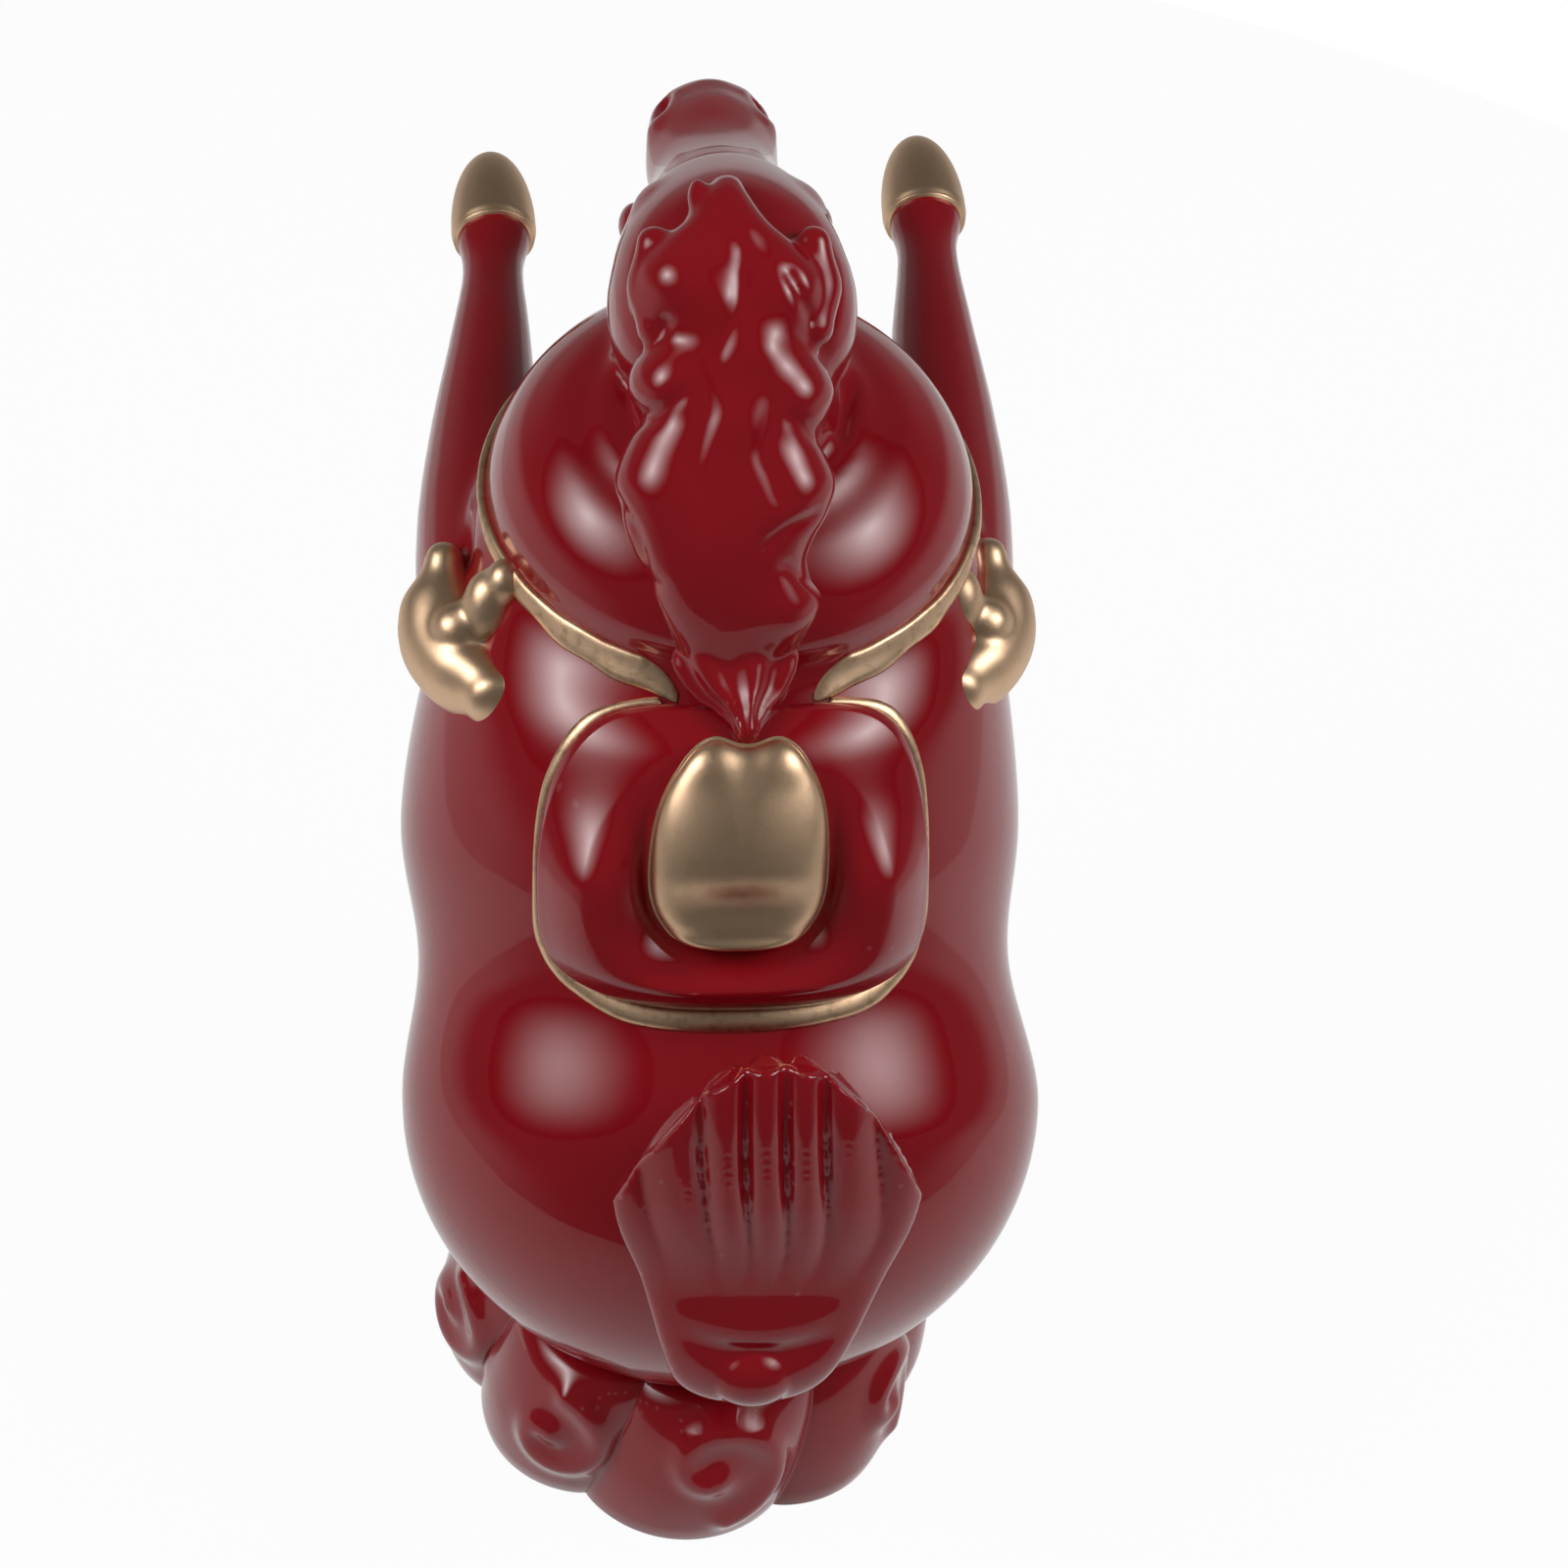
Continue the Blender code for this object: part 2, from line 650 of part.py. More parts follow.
def make_mane():
    mane = mane_form("mane")
    fit(mane, body_form("mane_body_seat", CLEARANCE), neck_form("mane_neck_seat", CLEARANCE))
    fit(mane, head_form("mane_head_seat", CLEARANCE))
    for name, side in (("ear_left", 1.0), ("ear_right", -1.0)):
        fit(mane, ear_form(name + "_mane_seat", side, CLEARANCE))
    glaze_red(mane)


def make_withers_lock():
    """The lock runs from inside the mane's lower end down to the notch of the seat."""
    tip = on_back(0.0, SEAT_CENTRE + SEAT_HALF_LENGTH, CLOTH_EDGE + LOCK_HALF_DEPTH)
    low = mane_stations()[0]
    middle_ahead = (low[AHEAD] - tip.y) / 2.0
    middle_up = (low[UP] + tip.z) / 2.0
    slope = math.degrees(math.atan2(low[UP] - tip.z, low[AHEAD] + tip.y))
    stations = [
        (0.0, -tip.y, tip.z, slope, LOCK_HALF_WIDTH / 3.0, LOCK_HALF_DEPTH / 2.0),
        (0.0, middle_ahead, middle_up, slope, LOCK_MIDDLE_HALF_WIDTH, LOCK_HALF_DEPTH),
        (0.0, low[AHEAD], low[UP], slope, LOCK_HALF_WIDTH, LOCK_HALF_DEPTH),
    ]
    lock = loft("withers_lock", stations, LIMB_SEGMENTS, 2, start=LOCK_ROUND, end=LOCK_ROUND)
    fit(lock, body_form("lock_body_seat", CLEARANCE), mane_form("lock_mane_seat", CLEARANCE))
    fit(lock, cloth_form("lock_cloth_seat", CLEARANCE), seat_form("lock_seat_seat", CLEARANCE))
    glaze_red(lock)


def foreleg_stations(side):
    """The leg runs ahead from inside the chest, and leans to the horse's right on the way."""
    chest = body_stations()[CHEST]
    out = BARREL_HALF_WIDTH - FORELEG_INSET
    start = (out, chest[AHEAD] + FORELEG_AHEAD_OF_CHEST, chest[UP] + FORELEG_ABOVE_CHEST)
    length = FORELEG_LENGTH if side > 0.0 else FORELEG_LENGTH + RIGHT_FORELEG_EXTRA
    stations = stations_from(FORELEG_SHAPE, start, length, FORELEG_RADIUS, FORELEG_RADIUS, side)
    shares = [(row[AHEAD] - start[AHEAD]) / length for row in stations]
    return [
        (row[SIDE] + chest[SIDE] - FORELEG_LEAN * share, *row[AHEAD:])
        for row, share in zip(stations, shares)
    ]


def foreleg_form(name, side, grow=0.0):
    return loft(name, foreleg_stations(side), LIMB_SEGMENTS, 2, start=SHOULDER_ROUND, grow=grow)


def make_forelegs():
    for name, side in (("left", 1.0), ("right", -1.0)):
        leg = foreleg_form("foreleg_" + name, side)
        glaze_red(fit(leg, body_form("foreleg_" + name + "_seat", CLEARANCE)))
        fetlock = foreleg_stations(side)[-1]
        stations = []
        for reach, radius in (
            (CLEARANCE, FRONT_HOOF_RADIUS * FRONT_HOOF_TOP_SHARE),
            (FRONT_HOOF_WALL / 2.0, FRONT_HOOF_RADIUS * (1.0 + FRONT_HOOF_TOP_SHARE) / 2.0),
            (FRONT_HOOF_WALL, FRONT_HOOF_RADIUS),
        ):
            spot = onward((fetlock[AHEAD], fetlock[UP]), reach, fetlock[PITCH])
            stations.append((fetlock[SIDE], *spot, fetlock[PITCH], radius, radius))
        gild(loft("front_hoof_" + name, stations, LIMB_SEGMENTS, 1, end=FRONT_HOOF_ROUND))


def hind_hoof_form(name, side, grow=0.0):
    out = side * (RUMP_HALF_WIDTH - HIND_LEG_INSET)
    low = CLOUD_HEIGHT + HIND_HOOF_ABOVE_CLOUD - HIND_HOOF_HEIGHT
    long = HIND_HOOF_RADIUS * HIND_HOOF_LONG_SHARE
    narrow = HIND_HOOF_RADIUS * HIND_HOOF_TOP_SHARE
    stations = [
        (out, HIND_LEG_AHEAD, low, 90.0, HIND_HOOF_RADIUS, long),
        (out, HIND_LEG_AHEAD, low + HIND_HOOF_HEIGHT, 90.0, narrow, HIND_HOOF_RADIUS),
    ]
    return loft(name, stations, LIMB_SEGMENTS, 2, start=HIND_HOOF_ROUND, grow=grow)


def hind_leg_form(name, side, grow=0.0):
    out = RUMP_HALF_WIDTH - HIND_LEG_INSET
    start = (out, HIND_LEG_AHEAD, CLOUD_HEIGHT + HIND_HOOF_ABOVE_CLOUD + CLEARANCE)
    stations = stations_from(
        HIND_LEG_SHAPE, start, HIND_LEG_LENGTH, HAUNCH_HALF_WIDTH, HAUNCH_HALF_DEPTH, side
    )
    return loft(name, stations, LIMB_SEGMENTS, 2, end=HAUNCH_ROUND, grow=grow)


def make_hind_legs():
    for name, side in (("left", 1.0), ("right", -1.0)):
        leg = hind_leg_form("hind_leg_" + name, side)
        glaze_red(fit(leg, body_form("hind_leg_" + name + "_seat", CLEARANCE)))
        hoof = hind_hoof_form("hind_hoof_" + name, side)
        gild(fit(hoof, body_form("hind_hoof_" + name + "_seat", CLEARANCE)))


def tail_stations():
    """From inside the rump out to the bend, then up the fan from its crease to its top."""
    crease = (TAIL_BEND_AHEAD, TAIL_BEND_UP)
    upright = 90.0 - FAN_LEAN
    low = onward(crease, FAN_LENGTH * FAN_CORNER_SHARE / 2.0, upright)
    corner = onward(crease, FAN_LENGTH * FAN_CORNER_SHARE, upright)
    top = onward(crease, FAN_LENGTH, upright)
    dock_ahead = (TAIL_START_AHEAD + TAIL_BEND_AHEAD) / 2.0
    dock_up = (TAIL_START_UP + TAIL_BEND_UP) / 2.0
    return [
        (0.0, TAIL_START_AHEAD, TAIL_START_UP, 184.0, TAIL_DOCK_HALF_WIDTH, TAIL_DOCK_HALF_DEPTH),
        (0.0, dock_ahead, dock_up, 184.0, TAIL_DOCK_HALF_WIDTH * 1.1, TAIL_DOCK_HALF_DEPTH),
        (FAN_SIDE / 2.0, *crease, 140.0, TAIL_BEND_HALF_WIDTH, TAIL_BEND_HALF_DEPTH),
        (FAN_SIDE, *low, upright, FAN_HALF_WIDTH * FAN_LOW_SHARE, FAN_HALF_THICKNESS / FAN_LOW_SHARE),
        (FAN_SIDE, *corner, upright, FAN_HALF_WIDTH, FAN_HALF_THICKNESS),
        (FAN_SIDE, *top, upright, FAN_HALF_WIDTH, FAN_EDGE_HALF_THICKNESS),
    ]


def make_tail():
    """The fan's rings are bowed, so that its top edge is an arc, and its faces carry ridges."""
    stations = tail_stations()
    last = len(stations) - 1
    crease = 2.0
    steps = 3
    rings = []
    for k in range(last * steps + 1):
        ring = []
        for n in range(TAIL_SEGMENTS):
            turn = 2.0 * math.pi * n / TAIL_SEGMENTS
            across = math.cos(turn)
            spot = k / steps
            if spot > crease:
                bow = (last - crease - 1.0) / (last - crease)
                spot = crease + (spot - crease) * (1.0 - (1.0 - bow) * abs(across) ** FAN_ARCH)
            row = spine_row(stations, spot)
            centre, axis, back = ring_frame(row)
            opened = min(1.0, max(0.0, (spot - crease) / 2.0))
            ridge = FAN_RIDGE_HEIGHT * opened * math.cos(math.pi * FAN_RIDGES * (across + 1.0))
            depth = (row[HALF_DEPTH] - ridge) * math.sin(turn)
            ring.append(centre + Vector((row[HALF_WIDTH] * across, 0.0, 0.0)) + depth * back)
        rings.append(ring)
    tail = fit(skin("tail", rings, thin_end=True), body_form("tail_seat", CLEARANCE))
    glaze_red(tail)


def power(value, exponent):
    return math.copysign(abs(value) ** exponent, value)


def cloth_outline(turn, extra=0.0):
    """A point on the cloth's edge, across and along the back, moved out by extra."""
    lift = math.sin(turn)
    length = CLOTH_FORWARD if lift > 0.0 else CLOTH_BACKWARD
    across = (CLOTH_HALF_WIDTH + extra) * power(math.cos(turn), CLOTH_SQUARENESS)
    return across, CLOTH_CENTRE + (length + extra) * power(lift, CLOTH_SQUARENESS)


def cloth_lift(across, distance):
    """Height of the cloth's face over the body: a low edge and a padded middle."""
    length = CLOTH_FORWARD if distance > CLOTH_CENTRE else CLOTH_BACKWARD
    wide = abs(across / CLOTH_HALF_WIDTH) ** (2.0 / CLOTH_SQUARENESS)
    long = abs((distance - CLOTH_CENTRE) / length) ** (2.0 / CLOTH_SQUARENESS)
    return CLOTH_EDGE + CLOTH_PUFF * max(0.0, 1.0 - wide - long) ** CLOTH_PUFF_POWER


def seat_outline(turn, extra=0.0):
    """A point on the seat's edge: a rounded square, narrower ahead, with a notch in its front."""
    along = power(math.sin(turn), SEAT_SQUARENESS)
    across = (SEAT_HALF_WIDTH + extra) * power(math.cos(turn), SEAT_SQUARENESS) * (1.0 - SEAT_TAPER * along)
    notch = SEAT_NOTCH * math.exp(-(math.cos(turn) / SEAT_NOTCH_HALF_WIDTH) ** 2) if along > 0.0 else 0.0
    return across, SEAT_CENTRE + (SEAT_HALF_LENGTH + extra - notch) * along


def pad(name, outline, centre, over, sunk, shares, grow=0.0):
    """A disc laid on the back: over gives its face's height, and its flat underside lies sunk."""
    def at(turn, share, height=None):
        across, distance = outline(turn, grow)
        across *= share
        distance = centre + (distance - centre) * share
        lift = over(across, distance, share) + grow if height is None else height
        return on_back(across, distance, lift)

    turns = [2.0 * math.pi * k / TRIM_SEGMENTS for k in range(TRIM_SEGMENTS)]
    rings = [[at(turn, share) for turn in turns] for share in shares]
    rings.append([at(turn, 1.0, -sunk) for turn in turns])
    return skin(name, rings, at(0.0, 0.0), at(0.0, 0.0, -sunk))


def cloth_form(name, grow=0.0):
    def over(across, distance, share):
        return cloth_lift(across, distance)

    return pad(name, cloth_outline, CLOTH_CENTRE, over, CLOTH_PUFF, (0.4, 0.7, 0.9, 1.0), grow)


def seat_form(name, grow=0.0):
    def over(across, distance, share):
        crown = max(0.0, 1.0 - (share / SEAT_CROWN_SHARE) ** SEAT_CROWN_POWER)
        return cloth_lift(across, distance) + CLEARANCE + SEAT_FLANGE + SEAT_RISE * math.sqrt(crown)

    return pad(name, seat_outline, SEAT_CENTRE, over, 0.0, (0.34, 0.64, 0.82, 0.9, 1.0), grow)


def strip(name, turns, surface, size_at, profile, grow=0.0):
    """A raised strip along a path: surface places a point by its turn, shift across and height."""
    rings = []
    for turn in turns:
        width, height = size_at(turn)
        ring = []
        for across, rise in profile:
            shift = across * width + grow * (2.0 * across - 1.0)
            ring.append(surface(turn, shift, CLEARANCE + rise * height + grow * (2.0 * rise - 1.0)))
        rings.append(ring)
    return skin(name, rings)


def turns_from_back(opening, count):
    """Turns all round from one side of an opening at the front of the back line to the other."""
    gap = math.radians(opening)
    return [math.pi / 2.0 + gap + (2.0 * math.pi - 2.0 * gap) * k / count for k in range(count + 1)]


def roll_form(name, grow=0.0):
    """A padded roll on the cloth, round the sides and the rear of the seat."""
    turns = turns_from_back(ROLL_OPENING, ROLL_STEPS)

    def surface(turn, shift, height):
        across, distance = seat_outline(turn, CLEARANCE + shift)
        return on_back(across, distance, cloth_lift(across, distance) - ROLL_SUNK + height)

    def size_at(turn):
        share = (turn - turns[0]) / (turns[-1] - turns[0])
        full = math.sin(math.pi * share) ** ROLL_TAPER_POWER if 0.0 < share < 1.0 else 0.0
        width = ROLL_WIDTH * (ROLL_END_WIDTH + (1.0 - ROLL_END_WIDTH) * full)
        return width, ROLL_HEIGHT * (ROLL_END_HEIGHT + (1.0 - ROLL_END_HEIGHT) * full)

    return strip(name, turns, surface, size_at, ROLL_PROFILE, grow)


def make_saddle():
    cloth = fit(cloth_form("saddle_cloth"), body_form("cloth_body_seat", CLEARANCE))
    glaze_red(cloth)
    roll = fit(roll_form("saddle_roll"), cloth_form("roll_cloth_seat", CLEARANCE))
    glaze_red(roll)
    seat = fit(seat_form("saddle_seat"), cloth_form("seat_cloth_seat", CLEARANCE))
    gild(seat)


def make_border():
    """The gilded line round the cloth, from one end of the strap to the other."""
    def surface(turn, shift, height):
        return on_back(*cloth_outline(turn, CLEARANCE + shift), height)

    def size_at(turn):
        rear = max(0.0, -math.sin(turn))
        return BORDER_SIDE_WIDTH + (BORDER_REAR_WIDTH - BORDER_SIDE_WIDTH) * rear, BORDER_HEIGHT

    turns = turns_from_back(BORDER_END_TURN, TRIM_STEPS)
    border = strip("saddle_cloth_border", turns, surface, size_at, STRIP_PROFILE)
    fit(border, strap_form("border_strap_seat", CLEARANCE))
    gild(border)


def strap_form(name, grow=0.0):
    def surface(turn, shift, height):
        return on_body(COLLAR, turn, height, shift)

    def size_at(turn):
        rear = max(0.0, math.sin(turn))
        return STRAP_SIDE_WIDTH + (STRAP_REAR_WIDTH - STRAP_SIDE_WIDTH) * rear, STRAP_HEIGHT

    return strip(name, turns_from_back(STRAP_END_TURN, TRIM_STEPS), surface, size_at, STRIP_PROFILE, grow)


def make_strap():
    strap = strap_form("collar_strap")
    for name, side in (("left", 1.0), ("right", -1.0)):
        fit(strap, foreleg_form("strap_foreleg_" + name, side, CLEARANCE))
    gild(strap)


def ingot_form(name, side):
    """A boat with upturned ends and a round heap in its middle."""
    middle, ahead, up = from_collar(INGOT_AHEAD, INGOT_UP)
    beside = spine_row(body_stations(), CHEST + INGOT_PAST_CHEST)
    out = beside[HALF_WIDTH] - INGOT_INSET + side * BARREL_SIDE
    start = (out, ahead, up)
    stations = stations_from(INGOT_SHAPE, start, INGOT_LENGTH, INGOT_RADIUS, INGOT_RADIUS, side)
    hull = loft(name, stations, LIMB_SEGMENTS, 2, start=INGOT_END_ROUND, end=INGOT_END_ROUND)
    top = place(side * out, ahead, up + INGOT_DOME_RISE)
    combine(hull, ball(name + "_heap", top, (INGOT_DOME_RADIUS,) * 3, LIMB_SEGMENTS), "UNION")
    return hull


def make_ingots():
    for name, side in (("ingot_left", 1.0), ("ingot_right", -1.0)):
        ingot = ingot_form(name, side)
        fit(ingot, body_form(name + "_body_seat", CLEARANCE), strap_form(name + "_strap_seat", CLEARANCE))
        fit(ingot, foreleg_form(name + "_leg_seat", side, CLEARANCE))
        gild(ingot)


def cloud_outline(turn, scale=1.0, grow=0.0):
    """A point of the cloud's scalloped outline; turn starts at the horse's left."""
    lobe = abs(math.cos(CLOUD_LOBES * (turn + math.pi / 2.0) / 2.0))
    swell = scale * (1.0 - CLOUD_LOBE_DEPTH * (1.0 - math.sqrt(lobe)))
    side = CLOUD_SIDE + (CLOUD_HALF_WIDTH * swell + grow) * math.cos(turn)
    ahead = CLOUD_HALF_LENGTH + (CLOUD_HALF_LENGTH * swell + grow) * power(math.sin(turn), CLOUD_SQUARENESS)
    return side, ahead


def cloud_ring(scale, up, grow=0.0):
    turns = [2.0 * math.pi * k / CLOUD_SEGMENTS for k in range(CLOUD_SEGMENTS)]
    return [place(*cloud_outline(turn, scale, grow), up) for turn in turns]


def cloud_form(name, grow=0.0):
    return skin(name, [cloud_ring(scale, share * CLOUD_HEIGHT, grow) for scale, share in CLOUD_SHAPE])


def make_cloud():
    cloud = fit(cloud_form("cloud_base"), body_form("cloud_body_seat", CLEARANCE))
    for name, side in (("left", 1.0), ("right", -1.0)):
        fit(cloud, hind_hoof_form("cloud_hoof_" + name, side, CLEARANCE))
        fit(cloud, hind_leg_form("cloud_leg_" + name, side, CLEARANCE))
    inset = 1.0 - FOOT_RING_WIDTH / CLOUD_HALF_WIDTH
    recess = [cloud_ring(inset, up) for up in (-FOOT_RING_HEIGHT, FOOT_RING_HEIGHT)]
    fit(cloud, skin("foot_ring_cut", recess))
    vent = [
        ring_at((CLOUD_SIDE, CLOUD_HALF_LENGTH, up, 90.0, VENT_RADIUS, VENT_RADIUS), LIMB_SEGMENTS)
        for up in (-VENT_DEPTH, VENT_DEPTH)
    ]
    fit(cloud, skin("vent_cut", vent))
    glaze_red(cloud)


def on_cloud(heading, across, rise, lift):
    """A point over the cloud's side, by distances from a heading's middle."""
    turn = heading + across / CLOUD_HALF_WIDTH
    outer = place(*cloud_outline(turn), CLOUD_HEIGHT * SCROLL_HEIGHT + rise)
    inner = place(*cloud_outline(turn, CLOUD_SHAPE[0][0]), CLOUD_HEIGHT * SCROLL_HEIGHT + rise)
    return outer + lift * (outer - inner).normalized()


def make_scrolls():
    """Curls on the cloud's side: each winds inward over its lobe's face and grows thinner."""
    for number, heading in enumerate(SCROLL_HEADINGS, start=1):
        hand = 1.0 if number % 2 else -1.0
        rings = []
        for k in range(SCROLL_STEPS + 1):
            share = k / SCROLL_STEPS
            angle = hand * 2.0 * math.pi * SCROLL_TURNS * share + math.radians(SCROLL_START_TURN)
            radius = SCROLL_RADIUS * (1.0 - (1.0 - SCROLL_INNER_SHARE) * share)
            wire = SCROLL_WIRE * (1.0 - (1.0 - SCROLL_THIN_SHARE) * share)
            ring = []
            for n in range(SCROLL_SEGMENTS):
                lean = 2.0 * math.pi * n / SCROLL_SEGMENTS
                away = radius + wire * math.cos(lean)
                across = away * math.cos(angle)
                rise = away * math.sin(angle)
                lift = wire * (SCROLL_PROUD_SHARE + math.sin(lean))
                ring.append(on_cloud(math.radians(heading), across, rise, lift))
            rings.append(ring)
        name = f"cloud_scroll_{number}"
        glaze_red(fit(skin(name, rings), cloud_form(name + "_seat", CLEARANCE)))


def stand_on_origin():
    """Moves the finished figure so that the middle of its footprint box is the origin."""
    bpy.context.view_layer.update()
    graph = bpy.context.evaluated_depsgraph_get()
    corners = []
    for piece in bpy.data.objects:
        if not piece.hide_render:
            shape = piece.evaluated_get(graph)
            corners += [shape.matrix_world @ Vector(corner) for corner in shape.bound_box]
    low = [min(corner[axis] for corner in corners) for axis in range(3)]
    high = [max(corner[axis] for corner in corners) for axis in range(3)]
    origin = Vector(((low[0] + high[0]) / 2.0, (low[1] + high[1]) / 2.0, low[2]))
    for piece in bpy.data.objects:
        piece.location -= origin


def build():
    for thing in list(bpy.data.objects):
        bpy.data.objects.remove(thing, do_unlink=True)
    make_body()
    make_neck()
    make_head()
    make_eyes()
    make_ears()
    make_mane()
    make_withers_lock()
    make_forelegs()
    make_hind_legs()
    make_tail()
    make_saddle()
    make_border()
    make_strap()
    make_ingots()
    make_cloud()
    make_scrolls()
    stand_on_origin()


build()
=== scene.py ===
"""Looks for the glazed ceramic horse: its surface forms, red glaze, gold lustre, studio and camera.

Shapes are worked out in millimetres as side (the horse's left), ahead and up, then turned to metres.
"""

import math

import bpy
import numpy as np
from mathutils import Matrix, Vector


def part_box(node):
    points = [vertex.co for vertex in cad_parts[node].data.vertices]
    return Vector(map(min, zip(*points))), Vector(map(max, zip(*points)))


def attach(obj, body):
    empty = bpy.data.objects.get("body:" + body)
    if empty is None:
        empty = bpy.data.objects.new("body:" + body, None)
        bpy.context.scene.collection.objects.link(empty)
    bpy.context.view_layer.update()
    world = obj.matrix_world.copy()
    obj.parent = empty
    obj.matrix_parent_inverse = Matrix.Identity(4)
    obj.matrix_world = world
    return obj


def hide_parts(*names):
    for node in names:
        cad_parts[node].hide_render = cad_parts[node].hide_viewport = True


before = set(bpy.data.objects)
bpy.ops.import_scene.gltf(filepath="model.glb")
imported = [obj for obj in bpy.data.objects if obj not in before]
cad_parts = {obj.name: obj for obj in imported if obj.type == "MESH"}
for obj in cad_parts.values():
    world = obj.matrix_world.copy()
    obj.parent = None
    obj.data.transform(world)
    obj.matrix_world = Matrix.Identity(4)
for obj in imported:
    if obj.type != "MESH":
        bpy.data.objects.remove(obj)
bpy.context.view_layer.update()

# Horse: torso, neck, head and legs. The real ones are slip castings, luted together with slip
# and covered by one skin of glaze, so here their shells are joined and their seams filled.
# A shape is a row of stations along its spine, and a station is a row of these six numbers.
SIDE, AHEAD, UP, PITCH, HALF_WIDTH, HALF_DEPTH = range(6)
LEFT, RIGHT = 1.0, -1.0
MM = 0.001
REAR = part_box("cloud_base")[1][1] / MM
FULL_TURN = 2.0 * math.pi


def smooth(rows, spot):
    """Values at the spots of a smooth curve through the rows; sizes level off at both ends."""
    rows = np.asarray(rows, float)
    spot = np.asarray(spot, float)
    before = 2.0 * rows[0] - rows[1]
    beyond = 2.0 * rows[-1] - rows[-2]
    before[HALF_WIDTH:] = rows[1][HALF_WIDTH:]
    beyond[HALF_WIDTH:] = rows[-2][HALF_WIDTH:]
    padded = np.vstack((before, rows, beyond))
    low = np.clip(spot.astype(int), 0, len(rows) - 2)
    share = (spot - low)[..., None]
    a, b, c, d = (padded[low + k] for k in range(4))
    cubic = (3.0 * b - a - 3.0 * c + d) * share ** 3
    return 0.5 * (2.0 * b + (c - a) * share + (2.0 * a - 5.0 * b + 4.0 * c - d) * share ** 2 + cubic)


def stations(shape, start, length, half_width, half_depth, side):
    """Rows of a shape given as shares of a length and of a half width and depth."""
    rows = np.array(shape, float)
    rows[:, :PITCH] = rows[:, :PITCH] * length + start
    rows[:, SIDE] *= side
    rows[:, HALF_WIDTH] *= half_width
    rows[:, HALF_DEPTH] *= half_depth
    return rows


def frames(rows):
    """Centre, axis and back direction of each row."""
    pitch = np.radians(rows[..., PITCH])
    none = np.zeros_like(pitch)
    axis = np.stack((none, np.cos(pitch), np.sin(pitch)), -1)
    back = np.stack((none, -np.sin(pitch), np.cos(pitch)), -1)
    return rows[..., :PITCH], axis, back


def rounded_end(ring, middle, reach, steps, last=88.5):
    """Rings that round an end off to a small hole, at the last angle; reach is their way there."""
    lean = np.radians(np.linspace(0.0, last, steps + 1)[1:])[:, None, None]
    return middle + (ring - middle) * np.cos(lean) + reach * np.sin(lean)


def loft(rows, count, steps, start=0.0, end=0.0, caps=14):
    """A grid of rings along the stations, with rounded ends of these lengths or none."""
    rows = smooth(rows, np.linspace(0.0, len(rows) - 1.0, steps))
    turns = np.linspace(0.0, FULL_TURN, count, endpoint=False)
    centre, axis, back = frames(rows)
    grid = centre[:, None] + (rows[:, None, HALF_DEPTH] * np.sin(turns))[..., None] * back[:, None]
    grid[..., SIDE] += rows[:, None, HALF_WIDTH] * np.cos(turns)
    parts = [grid]
    if start:
        parts.insert(0, rounded_end(grid[0], centre[0], -start * axis[0], caps)[::-1])
    if end:
        parts.append(rounded_end(grid[-1], centre[-1], end * axis[-1], caps))
    return np.concatenate(parts)


def blob(centre, radii, pitch):
    """An ellipsoid whose second radius lies along the pitch."""
    lean = np.radians(np.linspace(-88.0, 88.0, 20))
    rows = np.zeros((len(lean), 6))
    rows[:, :PITCH] = centre
    rows[:, AHEAD] += radii[1] * np.sin(lean) * math.cos(math.radians(pitch))
    rows[:, UP] += radii[1] * np.sin(lean) * math.sin(math.radians(pitch))
    rows[:, PITCH] = pitch
    rows[:, HALF_WIDTH] = radii[0] * np.cos(lean)
    rows[:, HALF_DEPTH] = radii[2] * np.cos(lean)
    return loft(rows, count=40, steps=len(rows))


def lump(side, middle, out, ahead, up, radii, pitch):
    """An ellipsoid a distance out from a middle line, on one side of the horse."""
    return blob((middle + side * out, ahead, up), radii, pitch)


def piece_from(name, grids):
    """A mesh object of one or more closed grids, its faces turned outward."""
    points = []
    faces = []
    count = 0
    for grid in grids:
        flat = grid.reshape(-1, 3)
        world = np.stack((flat[:, SIDE], REAR - flat[:, AHEAD], flat[:, UP]), -1) * MM
        index = np.arange(len(world)).reshape(grid.shape[:2])
        after = np.roll(index, -1, 1)
        quads = np.stack((index[:-1], after[:-1], after[1:], index[1:]), -1).reshape(-1, 4)
        a, b, c, d = (world[quads[:, k]] - world.mean(axis=0) for k in range(4))
        volume = np.einsum("ij,ij->i", a, np.cross(b, c) + np.cross(c, d)).sum()
        ends = [index[0][::-1].tolist(), index[-1].tolist()]
        if volume < 0.0:
            quads = quads[:, ::-1]
            ends = [end[::-1] for end in ends]
        faces += [[corner + count for corner in face] for face in quads.tolist() + ends]
        points.append(world)
        count += len(world)
    mesh = bpy.data.meshes.new(name)
    mesh.from_pydata(np.concatenate(points).tolist(), [], faces)
    mesh.update()
    mesh.shade_smooth()
    made = bpy.data.objects.new(name, mesh)
    bpy.context.collection.objects.link(made)
    return made


